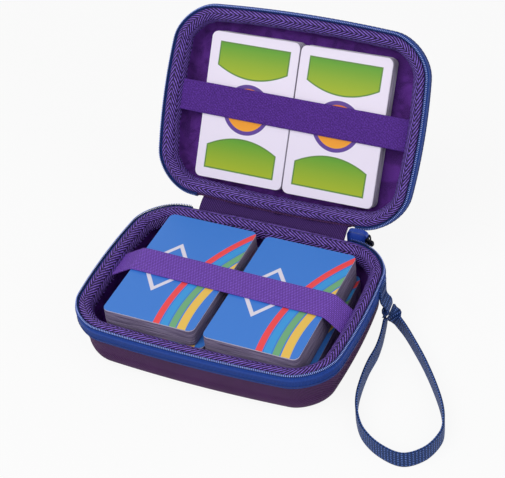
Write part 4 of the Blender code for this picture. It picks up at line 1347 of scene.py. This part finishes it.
class CASE_OT_puller(bpy.types.Operator):
    """Adds the zip slider, its link and the rivet"""

    bl_idname = "case.puller"
    bl_label = "Slider, link and rivet"

    def execute(self, context):
        turn = Matrix.Translation(SLIDER_PLACE) @ Matrix.Rotation(-SLIDER_TURN, 4, "Z")
        low, high = Vector((-0.0030, 0.0005, -0.0018)), Vector((0.0028, 0.0011, 0.0018))
        parts = [rounded_plate("plate", low, high, 0.0011, 0.0002)]
        for z in (-0.0016, 0.0016):
            low, high = Vector((-0.0024, 0.0004, z - 0.0002)), Vector((0.0022, 0.0008, z + 0.0002))
            parts.append(rounded_plate("flange", low, high, 0.0003, 0.0001, 2))
        slider = join("zip_slider_body", parts)
        slider.matrix_world = turn
        bpy.ops.object.transform_apply(location=True, rotation=True, scale=True)
        link_low, link_high = (Vector(corner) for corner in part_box("puller_link"))
        foot = turn @ Vector((0.0008, 0.0009, 0.0))
        top = Vector((link_high.x - 0.0004, link_high.y + 0.0001, SLIDER_PLACE.z))
        heel = turn @ Vector((-0.0022, 0.0009, 0.0))
        shoulder = foot.lerp(top, 0.7) + Vector((0.0003, 0.0004, 0.0))
        arch = smooth_path([foot, shoulder, top, heel.lerp(top, 0.5), heel], 24)
        bridge = tube("bridge", arch, 0.0005, 10, [Vector((0.0, 0.0, 1.0))] * len(arch))
        slider = join("zip_slider_body", [slider, bridge])
        settle(slider, "slider", "dark_nickel", look(dark_nickel), "zip_slider", angle=40)
        link = rounded_plate("puller_link_bar", link_low, link_high, 0.0013, 0.0002)
        settle(link, "puller", "dark_nickel", look(dark_nickel), "puller_link", angle=40)
        low, high = (Vector(corner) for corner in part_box("pull_rivet"))
        low.y = TAB_LOW.y + 0.0002
        bpy.ops.object.select_all(action="DESELECT")
        bpy.ops.mesh.primitive_cylinder_add(
            vertices=32,
            radius=0.0010,
            depth=high.y - low.y,
            location=(RIVET.x, (low.y + high.y) / 2, RIVET.z),
            rotation=(math.pi / 2, 0.0, 0.0),
        )
        bpy.ops.object.transform_apply(location=True, rotation=True, scale=True)
        parts = [context.object]
        bpy.ops.mesh.primitive_uv_sphere_add(
            segments=32, ring_count=16, location=(RIVET.x, high.y - 0.0004, RIVET.z), scale=(0.0018, 0.0004, 0.0018)
        )
        bpy.ops.object.transform_apply(location=True, rotation=True, scale=True)
        parts.append(context.object)
        rivet = join("pull_tab_rivet", parts)
        settle(rivet, "puller", "dark_nickel", look(dark_nickel), "pull_rivet", angle=40)
        return {"FINISHED"}


class CASE_OT_strap_tab(bpy.types.Operator):
    """Adds the folded webbing tab that holds the wrist strap, and its bar tacks"""

    bl_idname = "case.strap_tab"
    bl_label = "Strap tab"

    def execute(self, context):
        half_y = CORNER.y + CORNER_RADIUS
        back = Vector((-2 * SIDE_BOW_X * ANCHOR_Y / half_y**2, 1.0, 0.0)).normalized()
        out = Vector((back.y, -back.x, 0.0))
        anchor = Vector((rim_point((CORNER.x, ANCHOR_Y, 1.0, 0.0), 0.0)[0], ANCHOR_Y, ANCHOR_Z))
        outer, fold, drop = STRAP_TAB_REACH, STRAP_TAB_FOLD_RADIUS, STRAP_TAB_DROP
        turns = [math.radians(-60 * step) for step in range(4)]
        bottom = [(outer - fold + fold * math.cos(a), fold - drop + fold * math.sin(a)) for a in turns]
        profile = [*STRAP_TAB_FOLD, *bottom, (outer - 2 * fold, -0.0060)]
        path = smooth_path([anchor + out * o + Vector((0.0, 0.0, rise)) for o, rise in profile], 60)
        tab = ribbon("folded_strap_tab", path, [back * (WEBBING_WIDTH / 2)] * len(path), WEBBING_THICKNESS)
        settle(tab, "base", "woven_webbing", look(webbing), "strap_tab", angle=60)
        for number, rise in enumerate((0.0066, 0.0008)):
            zigzag = []
            for step in range(29):
                shift = 0.0005 if step % 2 else -0.0005
                along = back * (0.0042 * (step / 14 - 1))
                zigzag.append(anchor + out * 0.0015 + along + Vector((0.0, 0.0, rise + shift)))
            tack = tube("bar_tack_%d" % (number + 1), zigzag, THREAD_RADIUS, 6, [out] * len(zigzag))
            settle(tack, "base", "woven_webbing", look(sewing_thread), angle=80)
        return {"FINISHED"}


PIECES = (
    CASE_OT_stage,
    CASE_OT_wrist_strap,
    CASE_OT_strap_tab,
    CASE_OT_pull_tab,
    CASE_OT_puller,
    CASE_OT_shells,
    CASE_OT_linings,
    CASE_OT_bindings,
    CASE_OT_zip,
    CASE_OT_hinge,
    CASE_OT_decks,
    CASE_OT_straps,
)


class CASE_PT_sidebar(bpy.types.Panel):
    """Lists the steps of the card case"""

    bl_idname = "CASE_PT_sidebar"
    bl_label = "Card Case"
    bl_space_type = "VIEW_3D"
    bl_region_type = "UI"
    bl_category = "Card Case"

    def draw(self, context):
        for name in CaseSettings.__annotations__:
            self.layout.prop(context.scene.card_case, name)
        for step in PIECES:
            self.layout.operator(step.bl_idname)


CLASSES = (CaseSettings, *PIECES, CASE_PT_sidebar)


def register():
    for cls in CLASSES:
        bpy.utils.register_class(cls)
    bpy.types.Scene.card_case = bpy.props.PointerProperty(type=CaseSettings)


def unregister():
    del bpy.types.Scene.card_case
    for cls in reversed(CLASSES):
        bpy.utils.unregister_class(cls)


def main():
    register()
    for step in PIECES:
        group, name = step.bl_idname.split(".")
        getattr(getattr(bpy.ops, group), name)()


if __name__ == "__main__":
    main()
